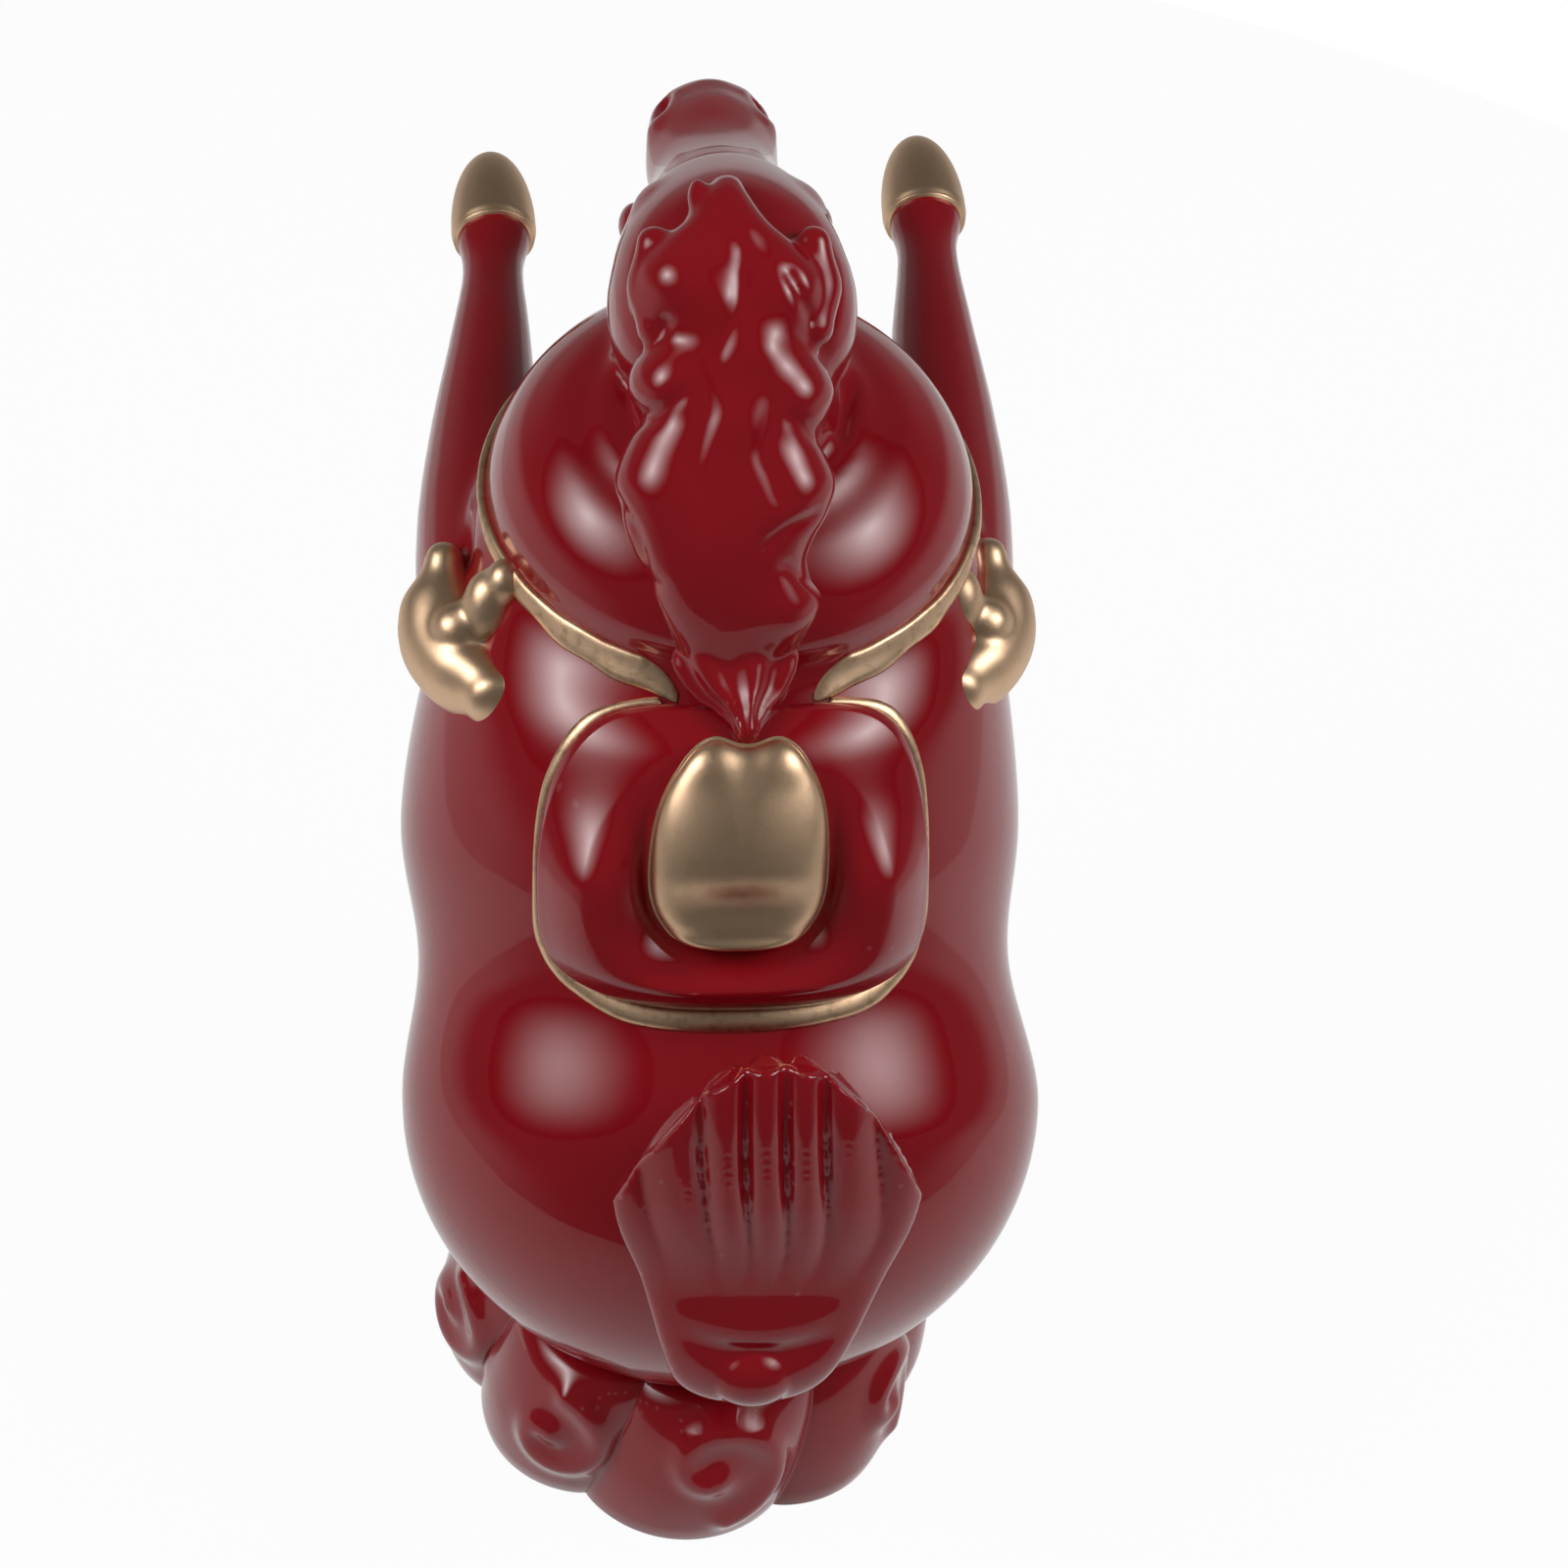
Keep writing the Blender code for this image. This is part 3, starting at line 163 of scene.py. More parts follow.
def melted(piece, voxel, passes):
    """One skin over all the shells of a piece, with its seams filled as by slip and glaze.

    Each pass moves a point by part of the way to the middle of its neighbours.
    """
    remesh = piece.modifiers.new("skin", "REMESH")
    remesh.mode = "VOXEL"
    remesh.voxel_size = voxel * MM
    graph = bpy.context.evaluated_depsgraph_get()
    mesh = bpy.data.meshes.new_from_object(piece.evaluated_get(graph))
    piece.modifiers.clear()
    piece.data = mesh
    count = len(mesh.vertices)
    points = np.empty(count * 3)
    mesh.vertices.foreach_get("co", points)
    points = points.reshape(-1, 3)
    edges = np.empty(len(mesh.edges) * 2, int)
    mesh.edges.foreach_get("vertices", edges)
    first, second = edges.reshape(-1, 2).T
    ends = np.concatenate((first, second))
    others = np.concatenate((second, first))
    neighbours = np.bincount(ends, minlength=count)[:, None]
    for step in range(passes):
        total = np.stack([np.bincount(ends, points[others, axis], count) for axis in range(3)], -1)
        points = points + 0.6 * (total / neighbours - points)
    mesh.vertices.foreach_set("co", points.ravel())
    mesh.update()
    mesh.shade_smooth()
    return piece


def pressed(piece, lines):
    """Presses soft dents and grooves along lines of points into a piece: points, width, depth."""
    mesh = piece.data
    count = len(mesh.vertices)
    world = np.empty(count * 3)
    out = np.empty(count * 3)
    mesh.vertices.foreach_get("co", world)
    mesh.vertex_normals.foreach_get("vector", out)
    world = world.reshape(-1, 3)
    spots = np.stack((world[:, 0] / MM, REAR - world[:, 1] / MM, world[:, 2] / MM), -1)
    deep = np.zeros(count)
    for points, width, depth in lines:
        points = np.array(points, float)
        nearest = np.full(count, np.inf)
        for a, b in zip(points, points[1:]):
            share = np.clip((spots - a) @ (b - a) / ((b - a) @ (b - a)), 0.0, 1.0)
            nearest = np.minimum(nearest, np.linalg.norm(spots - a - share[:, None] * (b - a), axis=1))
        deep += depth * np.exp(-(nearest / width) ** 2)
    world -= out.reshape(-1, 3) * deep[:, None] * MM
    mesh.vertices.foreach_set("co", world.ravel())
    mesh.update()


def linear(code):
    """An sRGB hex colour as linear RGBA."""
    shares = [int(code[k:k + 2], 16) / 255.0 for k in (1, 3, 5)]
    return [s / 12.92 if s <= 0.04045 else ((s + 0.055) / 1.055) ** 2.4 for s in shares] + [1.0]


def add(tree, kind, inputs=(), **settings):
    """One shader node with its settings and its inputs, each a value or another node's output."""
    made = tree.nodes.new("ShaderNode" + kind)
    for name, value in settings.items():
        setattr(made, name, value)
    for name, value in dict(inputs).items():
        if isinstance(value, bpy.types.NodeSocket):
            tree.links.new(value, made.inputs[name])
        else:
            made.inputs[name].default_value = value
    return made


def bare(made):
    """The emptied node tree of a new material or world."""
    made.use_nodes = True
    made.node_tree.nodes.clear()
    return made.node_tree


def red_glaze_material():
    """Copper-red feldspar glaze, fired glossy over white clay.

    It gives a deep even red under a mirror-like skin, and breaks paler where it runs thin over
    sharp rims. Its skin waves by hundredths of a millimetre, about 9 mm from crest to crest, and
    its colour clouds over about 22 mm.
    """
    cloud_size = 22.222 * MM
    wave_size = 9.091 * MM
    wave_height = 0.04 * MM
    made = bpy.data.materials.new("red_glaze")
    tree = bare(made)
    where = add(tree, "TexCoord").outputs["Object"]
    cloudy = add(tree, "TexNoise", {"Vector": where, "Scale": 1.0 / cloud_size, "Detail": 2.0})
    body = add(tree, "MixRGB", {
        "Fac": cloudy.outputs["Fac"], "Color1": linear("#920A15"), "Color2": linear("#9E101F"),
    })
    edge = add(tree, "NewGeometry").outputs["Pointiness"]
    thin = add(tree, "MapRange", {"Value": edge, "From Min": 0.54, "From Max": 0.66, "To Max": 0.45})
    tinted = add(tree, "MixRGB", {
        "Fac": thin.outputs[0], "Color1": body.outputs[0], "Color2": linear("#B5625F"),
    })
    waves = add(tree, "TexNoise", {"Vector": where, "Scale": 1.0 / wave_size, "Detail": 1.0})
    bump = add(tree, "Bump", {"Height": waves.outputs["Fac"], "Distance": wave_height, "Strength": 1.0})
    shader = add(tree, "BsdfPrincipled", {
        "Base Color": tinted.outputs[0], "Roughness": 0.25, "IOR": 1.45, "Specular IOR Level": 0.12,
        "Coat Weight": 1.0, "Coat Roughness": 0.03, "Coat IOR": 1.5, "Normal": bump.outputs[0],
        "Coat Normal": bump.outputs[0],
    })
    add(tree, "OutputMaterial", {"Surface": shader.outputs[0]})
    return made


def finished(piece, material, slot, *nodes):
    """Gives a piece its material and its place in the frame."""
    piece.data.materials.clear()
    piece.data.materials.append(material)
    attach(piece, "root")
    if nodes:
        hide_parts(*nodes)


red_glaze = red_glaze_material()

# The torso runs from the rump to the collar, and from there it closes in as a dome below the neck.
COLLAR = np.array((104.02, 173.95))
BODY = np.array((
    (0.0, 48.0, 74.5, 52.0, 59.5, 48.0),
    (1.2, 65.8, 94.54, 52.0, 55.0, 44.8),
    (2.0, 80.94, 116.66, 57.0, 57.3, 50.0),
    (1.2, 94.93, 145.99, 72.0, 52.5, 49.5),
    (0.0, *COLLAR, 96.0, 44.7, 44.7),
    (0.0, 102.6, 182.8, 97.0, 42.8, 42.4),
    (0.5, 100.4, 191.0, 100.0, 38.6, 37.6),
    (1.0, 98.6, 197.0, 102.0, 31.8, 30.6),
    (1.2, 97.6, 200.6, 103.0, 24.0, 23.0),
))
COLLAR_STATION = 4.0
NECK = (
    (1.0, 98.0, 186.0, 88.0, 18.7, 19.8),
    (1.2, 98.8, 200.4, 82.0, 17.9, 17.6),
    (1.4, 101.6, 213.0, 70.0, 16.6, 15.4),
    (1.4, 105.2, 222.0, 58.0, 13.8, 12.0),
)
HEAD = (
    (1.5, 101.0, 216.0, -6.0, 17.8, 18.8),
    (1.5, 112.4, 214.5, -12.0, 21.2, 21.8),
    (1.2, 128.0, 210.6, -15.0, 19.0, 19.4),
    (0.8, 142.2, 206.4, -16.0, 13.9, 15.6),
    (0.4, 155.0, 203.6, -15.0, 11.8, 13.2),
    (0.2, 168.0, 201.0, -12.0, 12.3, 13.0),
    (0.0, 178.0, 199.4, -10.0, 10.2, 11.6),
)

# The ridge of the forehead: centre, radii and pitch.
FOREHEAD = ((1.0, 136.0, 216.0), (9.0, 20.0, 7.0), -17.0)

# Lumps on each side of the head: middle line, distance out, ahead, up, radii and pitch.
BROW = (1.2, 10.0, 125.0, 221.0, (7.8, 9.5, 7.6), -14.0)
CHEEK = (1.4, 14.5, 110.0, 213.0, (7.6, 16.0, 14.0), -14.0)
LIP = (0.0, 6.6, 176.0, 201.6, (5.0, 6.5, 6.0), -12.0)

# A foreleg runs ahead and a little up from the shoulder, and its hoof end leans in.
FORELEG = (
    (0.000, 0.00, 0.000, 6.0, 1.42, 1.60),
    (0.012, 0.22, 0.023, 6.0, 1.34, 1.44),
    (0.014, 0.46, 0.048, 6.0, 1.12, 1.18),
    (0.008, 0.70, 0.074, 6.0, 0.86, 0.92),
    (0.006, 0.90, 0.096, 6.0, 0.65, 0.66),
    (0.006, 1.00, 0.105, 6.0, 0.80, 0.80),
)
SHOULDER = (42.0, 102.43, 150.49)
FORELEG_LENGTHS = {LEFT: 93.5, RIGHT: 98.0}
FORELEG_RADIUS = 9.2
FORELEG_SHIFT = 1.2
FORELEG_LEAN = 5.4

# A hind leg is folded: it rises ahead from the fetlock into the thigh, beside the rump.
HIND_LEG = (
    (0.00, 0.00, 0.00, 88.0, 0.57, 0.47),
    (0.02, 0.06, 0.22, 76.0, 0.66, 0.62),
    (0.07, 0.26, 0.62, 62.0, 0.90, 0.90),
    (0.09, 0.52, 1.00, 56.0, 1.00, 1.00),
)
HIND_FETLOCK = (37.0, 62.0, 36.3)
HIND_LEG_HEIGHT = 34.0
THIGH_HALF_WIDTH = 14.0
THIGH_HALF_DEPTH = 18.0

RUMP_LENGTH = 54.5
shells = [
    loft(BODY, count=200, steps=200, start=RUMP_LENGTH, end=1.5, caps=40),
    loft(NECK, count=80, steps=40),
    loft(HEAD, count=80, steps=100, start=9.0, end=6.0),
    blob(*FOREHEAD),
]
forelegs = {}
for side in (LEFT, RIGHT):
    length = FORELEG_LENGTHS[side]
    leg = stations(FORELEG, SHOULDER, length, FORELEG_RADIUS, FORELEG_RADIUS, side)
    leg[:, SIDE] += FORELEG_SHIFT - FORELEG_LEAN * (leg[:, AHEAD] - leg[0, AHEAD]) / length
    forelegs[side] = leg
    thigh = stations(HIND_LEG, HIND_FETLOCK, HIND_LEG_HEIGHT, THIGH_HALF_WIDTH, THIGH_HALF_DEPTH, side)
    shells.append(loft(leg, count=80, steps=80, start=10.0, end=6.0))
    shells.append(loft(thigh, count=80, steps=40, start=3.0, end=14.0))
    shells += [lump(side, *BROW), lump(side, *CHEEK), lump(side, *LIP)]
horse = melted(piece_from("horse", shells), voxel=0.8, passes=16)

# Lines pressed into the skin, as their points, width and depth; a raised one has a depth below
# zero. The points of those on both sides are given for the horse's left.
middle_lines = {
    "front of the mouth": (((-9.5, 178.0, 193.6), (0.0, 184.0, 192.8), (9.5, 178.0, 193.6)), 0.9, 1.4),
    "furrow of the brow": (((0.0, 141.0, 218.0), (0.0, 126.0, 226.0)), 2.4, 0.8),
}
side_lines = {
    "rim of the nostril": (((7.2, 177.0, 207.0), (10.0, 171.0, 207.0)), 3.6, -1.3),
    "nostril": (((8.2, 177.0, 207.0), (9.4, 173.0, 207.6)), 1.6, 2.4),
    "dent of the muzzle": (((5.2, 183.0, 200.6), (7.2, 182.0, 203.2)), 1.5, 2.2),
    "side of the mouth": (((9.5, 178.0, 193.6), (12.2, 166.0, 195.0), (12.6, 156.0, 196.6)), 0.9, 1.2),
    "fold of the shoulder": (((36.0, 131.0, 166.0), (41.0, 112.0, 169.0), (48.0, 99.0, 165.0)), 2.2, 1.6),
    "fold behind the cheek": (((22.0, 118.0, 214.0), (21.0, 104.0, 204.0), (17.0, 92.0, 200.0)), 1.4, 0.8),
}
skin_lines = list(middle_lines.values())
for side in (LEFT, RIGHT):
    for points, width, depth in side_lines.values():
        skin_lines.append(([(side * out, ahead, up) for out, ahead, up in points], width, depth))
pressed(horse, skin_lines)
finished(
    horse, red_glaze, "red_glaze", "body", "neck", "head", "foreleg_left", "foreleg_right",
    "hind_leg_left", "hind_leg_right",
)

# Eyes: plain low domes of the same clay, one on each side of the brow. They are pressed on
# before the firing, and the head's glaze runs over them.
EYE = (0.8, 16.2, 133.0, 213.6, (3.0, 5.0, 4.0), -15.0)
eyes = piece_from("eyes", [lump(side, *EYE) for side in (LEFT, RIGHT)])
finished(eyes, red_glaze, "red_glaze", "eye_left", "eye_right")


# Saddle cloth: moulded in the body's casting as a padded cloth that swells round the seat, lower
# ahead of it, with a rounded rim where the gilded border runs. Places on it are given across
# from the middle of the back and by their distance along it, up from the rump.
def on_body(spot, turn, lift, shift=0.0):
    """Points over the torso, shifted along it; turn runs from the horse's left over its back."""
    def at(spot, turn):
        row = smooth(BODY, spot)
        centre, _, back = frames(row)
        point = centre + (row[..., HALF_DEPTH] * np.sin(turn))[..., None] * back
        point[..., SIDE] += row[..., HALF_WIDTH] * np.cos(turn)
        return point

    given = (np.asarray(value, float) for value in (spot, turn, lift, shift))
    spot, turn, lift, shift = np.broadcast_arrays(*given)
    near = 0.01
    along = at(spot + near, turn) - at(spot - near, turn)
    spot = spot + shift * 2.0 * near / np.linalg.norm(along, axis=-1)
    around = at(spot, turn + near) - at(spot, turn - near)
    out = np.cross(along, around)
    out /= np.linalg.norm(out, axis=-1, keepdims=True)
    return at(spot, turn) + lift[..., None] * out


back_spots = np.linspace(0.0, 5.0, 101)
back_line = on_body(back_spots, math.pi / 2.0, 0.0)
back_steps = np.linalg.norm(np.diff(back_line, axis=0), axis=1)
back_lengths = np.concatenate(([0.0], np.cumsum(back_steps)))


def on_back(across, distance, lift):
    """Points over the back, by distance from its middle line and along it."""
    spot = np.interp(distance, back_lengths, back_spots)
    share = np.clip(across / smooth(BODY, spot)[..., HALF_WIDTH], -1.0, 1.0)
    return on_body(spot, np.arccos(share), lift)


def signed_power(value, exponent):
    """A power that keeps the sign; of a sine and cosine, under 1, it squares a round outline."""
    return np.sign(value) * np.abs(value) ** exponent


def unit(value):
    """The value kept between 0 and 1."""
    return np.clip(value, 0.0, 1.0)


def bell(value, middle, width):
    """1 at the middle, falling smoothly to almost nothing two widths away."""
    return np.exp(-((value - middle) / width) ** 2)


CLOTH_CENTRE = 47.0
CLOTH_HALF_WIDTH = 34.0
CLOTH_FORWARD = 34.5
CLOTH_BACKWARD = 22.5
CLOTH_CORNER = 0.68
CLOTH_THICKNESS = 0.4
CLOTH_TUCK = 2.4
CLOTH_PADDING = 1.2
CLOTH_SWELL = 6.2
SWELL_END = 50.0
SWELL_FADE = 9.5
SEAT_CENTRE = 57.2
SEAT_HALF_WIDTH = 15.5
SEAT_HALF_LENGTH = 19.0

# The squareness of both outlines as powers, each with the root that undoes it, near enough.
CLOTH_POWER = 2.94
CLOTH_ROOT = 0.34
SEAT_POWER = 3.0
SEAT_ROOT = 0.333


def cloth_outline(turn, extra=0.0):
    """Across and distance of the cloth's edge, or of a line this much outside it."""
    length = np.where(np.sin(turn) > 0.0, CLOTH_FORWARD, CLOTH_BACKWARD) + extra
    along = CLOTH_CENTRE + length * signed_power(np.sin(turn), CLOTH_CORNER)
    return (CLOTH_HALF_WIDTH + extra) * signed_power(np.cos(turn), CLOTH_CORNER), along


def cloth_lift(across, distance):
    """Height of the cloth over the torso: a rim, then a swell that is highest half way in."""
    length = np.where(distance > CLOTH_CENTRE, CLOTH_FORWARD, CLOTH_BACKWARD)
    outer = np.abs(across / CLOTH_HALF_WIDTH) ** CLOTH_POWER
    outer = outer + np.abs((distance - CLOTH_CENTRE) / length) ** CLOTH_POWER
    inner = np.abs(across / SEAT_HALF_WIDTH) ** SEAT_POWER
    inner = inner + np.abs((distance - SEAT_CENTRE) / SEAT_HALF_LENGTH) ** SEAT_POWER
    from_rim = unit(1.0 - outer ** CLOTH_ROOT)
    from_seat = unit(inner ** SEAT_ROOT - 1.0)
    swell = np.sin(math.pi * unit(from_rim / (from_rim + from_seat + 1e-6)) ** 0.8)
    swell = swell * bell(np.maximum(distance, SWELL_END), SWELL_END, SWELL_FADE)
    edge = CLOTH_TUCK * unit(from_rim / 0.05) ** 0.5 + CLOTH_PADDING * unit(from_rim / 0.3)
    return CLOTH_THICKNESS + edge + CLOTH_SWELL * swell


# A soft dent, 0.9 mm deep, runs slanting off the seat's rear corner on the left.
DENT_DEPTH = 0.9
DENT_DISTANCE = 34.5

rim_turns = np.linspace(0.0, FULL_TURN, 300, endpoint=False)
share = (1.0 - np.linspace(0.98, 0.0, 110) ** 1.6)[:, None]
across, distance = cloth_outline(rim_turns)
across = across * share
distance = CLOTH_CENTRE + (distance - CLOTH_CENTRE) * share
dent = bell(across, 10.5 + (distance - 35.0) * 0.9, 4.0) * bell(distance, DENT_DISTANCE, 2.2)
cloth_top = on_back(across, distance, cloth_lift(across, distance) - DENT_DEPTH * dent)
cloth_under = on_back(across, distance, -2.0)
cloth = piece_from("saddle_cloth", [np.concatenate((cloth_top, cloth_under[::-1]))])
finished(cloth, red_glaze, "red_glaze", "saddle_cloth", "saddle_roll")


# Seat: a gilded pillow with a notch at its front, hollowed a little towards a rounded rear lip.
# The gold is a lustre, brushed on over the fired glaze and fired again.
def gold_lustre_material(name, streak):
    """Gold lustre, a thin metal film brushed on: satin, pale and warm, with fine sparkling grain.

    The grain is drawn 0.25 mm wide, coarser than the real one, so that it shows. The streaks are
    where the brush left less gold; streak is their strength.
    """
    streak_size = 2.381 * MM
    grain_size = 0.25 * MM
    grain_height = 0.03 * MM
    made = bpy.data.materials.new(name)
    tree = bare(made)
    where = add(tree, "TexCoord").outputs["Object"]
    streaks = add(tree, "TexNoise", {
        "Vector": where, "Scale": 1.0 / streak_size, "Detail": 5.0, "Roughness": 0.65,
    })
    thin = add(tree, "MapRange", {
        "Value": streaks.outputs["Fac"], "From Min": 0.50, "From Max": 0.72, "To Max": streak,
    })
    colour = add(tree, "MixRGB", {
        "Fac": thin.outputs[0], "Color1": linear("#E8C4A0"), "Color2": linear("#8E6240"),
    })
    grain = add(tree, "TexNoise", {"Vector": where, "Scale": 1.0 / grain_size, "Detail": 1.0})
    rough = add(tree, "MapRange", {"Value": grain.outputs["Fac"], "To Min": 0.28, "To Max": 0.48})
    bump = add(tree, "Bump", {"Height": grain.outputs["Fac"], "Distance": grain_height, "Strength": 0.7})
    shader = add(tree, "BsdfPrincipled", {
        "Base Color": colour.outputs[0], "Metallic": 1.0, "Roughness": rough.outputs[0],
        "Normal": bump.outputs[0],
    })
    add(tree, "OutputMaterial", {"Surface": shader.outputs[0]})
    return made


gold_lustre = gold_lustre_material("satin_gold_lustre", 0.12)
brushed_lustre = gold_lustre_material("brushed_gold_lustre", 0.55)

SEAT_NOTCH = 1.8
SEAT_NARROWING = 0.09
SEAT_EDGE = 1.5
SEAT_BED = 2.6
SEAT_TILT = 2.5
SEAT_RISE = 7.0
HOLLOW_DEPTH = 2.2
LIP_HEIGHT = 1.5
LOBE_HEIGHT = 0.9
ROLLED_EDGE = (0.05, 0.25, 0.7, 1.4)

along = signed_power(np.sin(rim_turns), 0.80)
notch = np.where(along > 0.0, SEAT_NOTCH * bell(np.cos(rim_turns), 0.0, 0.22), 0.0)
rim_across = 0.94 * SEAT_HALF_WIDTH * signed_power(np.cos(rim_turns), 0.78)
rim_across = rim_across * (1.0 - SEAT_NARROWING * along)
rim_distance = (0.98 * SEAT_HALF_LENGTH - notch) * along
share = (1.0 - np.linspace(0.98, 0.0, 110) ** 1.5)[:, None]
across = rim_across * share
distance = SEAT_CENTRE + rim_distance * share

# Rearward runs from -1 at the seat's front to 1 at its rear.
rearward = (SEAT_CENTRE - distance) / SEAT_HALF_LENGTH
middle = unit(1.0 - (across / (0.9 * SEAT_HALF_WIDTH)) ** 2)
crown = SEAT_RISE * unit(1.0 - (share / 0.97) ** 2.1) ** 0.55
hollow = HOLLOW_DEPTH * bell(rearward, 0.42, 0.22) * middle
lip = LIP_HEIGHT * bell(rearward, 0.80, 0.08) * middle
lobes = LOBE_HEIGHT * bell(rearward, -0.80, 0.16) * bell(np.abs(across), 6.5, 4.5)
flange = cloth_lift(rim_across, SEAT_CENTRE + rim_distance)
bed = flange * share ** 3 + (SEAT_BED + SEAT_TILT * rearward) * (1.0 - share ** 3)
lift = bed + SEAT_EDGE + crown - hollow + lip + lobes
lift[-len(ROLLED_EDGE):] -= np.array(ROLLED_EDGE)[:, None]
seat_under = on_back(across[::-1], distance[::-1], 1.0)
seat = piece_from("saddle_seat", [np.concatenate((on_back(across, distance, lift), seat_under))])
finished(seat, gold_lustre, "gold_lustre", "saddle_seat")


# Border and collar strap: low ridges in the casting, gilded by hand. Their edges waver as a
# brush leaves them, and the strap runs out to a point at each end beside the mane.
def band(name, turns, surface, width, height, seed):
    """A closed strip along a path; surface places a point by its turn, shift and height."""
    random = np.random.default_rng(seed)
    waver = [
        sum(random.normal() * np.sin(turns * rate + random.uniform(0.0, FULL_TURN)) for rate in rates)
        for rates in ((5.0, 11.0, 23.0), (7.0, 13.0, 29.0))
    ]
    unsteady = 0.045 * np.minimum(width, 2.0)
    inner = unsteady * waver[0]
    outer = width + unsteady * waver[1]
    across = np.array((0.0, 0.5, 1.0, 1.0, 0.93, 0.80, 0.65, 0.50, 0.35, 0.20, 0.07, 0.0))
    rise = np.array((0.0, 0.0, 0.0, 0.30, 0.66, 0.88, 0.97, 1.0, 0.97, 0.88, 0.66, 0.30))
    sunk = 0.3 * (rise == 0.0)
    shift = inner[:, None] + (outer - inner)[:, None] * across
    grid = surface(turns[:, None], shift, rise * height[:, None] - sunk)
    return piece_from(name, [grid])


def open_turn(opening):
    """Turns round a loop that is open by this many degrees on each side of the top."""
    return np.radians(np.linspace(90.0 + opening, 450.0 - opening, 600))


def border_place(turn, shift, height):
    """A point on the cloth's border, whose inner edge lies 0.7 mm inside the cloth's."""
    return on_back(*cloth_outline(turn, shift - 0.7), height)


def strap_place(turn, shift, height):
    """A point on the strap, which sinks 3.2 mm below the collar towards the mane."""
    return on_body(COLLAR_STATION, turn, height, shift - 3.2 * unit(np.sin(turn)) ** 2)


border_turns = open_turn(17.0)
border_width = 1.7 + 2.9 * unit(-np.sin(border_turns)) ** 1.8
border_height = np.full(len(border_turns), 1.4)
border = band("saddle_cloth_border", border_turns, border_place, border_width, border_height, 3)
finished(border, brushed_lustre, "gold_lustre", "saddle_cloth_border")

strap_turns = open_turn(15.0)
from_end = np.minimum(strap_turns - strap_turns[0], strap_turns[-1] - strap_turns)
tip = np.clip(from_end / 0.16, 0.04, 1.0)
strap_width = (2.3 + 5.0 * unit(np.sin(strap_turns)) ** 1.1) * tip ** 0.5
strap = band("collar_strap", strap_turns, strap_place, strap_width, 1.2 * tip ** 0.4, 8)
finished(strap, brushed_lustre, "gold_lustre", "collar_strap")

# Hooves: smooth gilded caps, a little wider than the pasterns of the forelegs; the hind ones
# stand half hidden between the cloud and the rump. A front hoof's rings are given by how far
# past the fetlock they lie and their radius, and it rounds off over its length like an egg.
FRONT_HOOF_RINGS = ((-0.4, 7.9), (1.2, 8.25), (2.8, 8.25))
FRONT_HOOF_LENGTH = 19.6

# Both ends of a hind hoof: up, pitch, half width and half depth.
HIND_HOOF_LOW = (22.5, 90.0, 8.5, 9.8)
HIND_HOOF_TOP = (36.0, 90.0, 7.65, 8.5)


def further(place, length, pitch):
    """The ahead and up of the place a length further along a pitch in degrees."""
    pitch = math.radians(pitch)
    return place + length * np.array((math.cos(pitch), math.sin(pitch)))


front_hooves = []
hind_hooves = []
for side in (LEFT, RIGHT):
    fetlock = forelegs[side][-1]
    rows = []
    for reach, radius in FRONT_HOOF_RINGS:
        place = further(fetlock[AHEAD:PITCH], reach, fetlock[PITCH])
        rows.append((fetlock[SIDE], *place, fetlock[PITCH], radius, radius))
    front_hooves.append(loft(rows, count=80, steps=12, end=FRONT_HOOF_LENGTH, caps=40))
    place = (side * HIND_FETLOCK[SIDE], HIND_FETLOCK[AHEAD])
    rows = [(*place, *HIND_HOOF_LOW), (*place, *HIND_HOOF_TOP)]
    hind_hooves.append(loft(rows, count=80, steps=20, start=2.0))
front_hooves = piece_from("front_hooves", front_hooves)
hind_hooves = piece_from("hind_hooves", hind_hooves)
finished(front_hooves, gold_lustre, "gold_lustre", "front_hoof_left", "front_hoof_right")
finished(hind_hooves, gold_lustre, "gold_lustre", "hind_hoof_left", "hind_hoof_right")

# Ingots: gilded boats hung on the strap at the shoulders, their ends turned in towards the
# body, with a low heap between the ends and a round nub where the strap meets them.
INGOT = (
    (-0.52, -0.98, 0.06, -8.0, 0.74, 0.72),
    (-0.20, -0.58, -0.02, -2.0, 0.96, 0.94),
    (0.04, 0.00, 0.00, 6.0, 1.06, 1.04),
    (0.12, 0.55, 0.26, 24.0, 0.90, 0.86),
    (0.08, 0.92, 0.66, 44.0, 0.44, 0.46),
)
INGOT_HALF_LENGTH = 14.5
INGOT_RADIUS = 8.2
INGOT_OUT = {LEFT: 50.3, RIGHT: 46.3}
INGOT_FROM_COLLAR = (-18.0, -19.5)

# Lumps joined to the hull: distance in, ahead and up from its middle, radii and pitch.
HEAP = (1.0, -1.5, 6.8, (5.2, 5.2, 5.0), 0.0)
NUB = (9.2, -0.5, 17.0, (3.8, 4.4, 3.8), 60.0)
BRIDGE = (6.4, -1.0, 11.0, (5.0, 7.5, 5.0), 70.0)
for name, side in (("ingot_left", LEFT), ("ingot_right", RIGHT)):
    start = (INGOT_OUT[side], *(COLLAR + INGOT_FROM_COLLAR))
    rows = stations(INGOT, start, INGOT_HALF_LENGTH, INGOT_RADIUS, INGOT_RADIUS, side)
    shells = [loft(rows, count=80, steps=60, start=3.5, end=3.5)]
    for inward, ahead, up, radii, pitch in (HEAP, NUB, BRIDGE):
        centre = (side * (start[SIDE] - inward), start[AHEAD] + ahead, start[UP] + up)
        shells.append(blob(centre, radii, pitch))
    ingot = melted(piece_from(name, shells), voxel=0.5, passes=16)
    finished(ingot, gold_lustre, "gold_lustre", name)

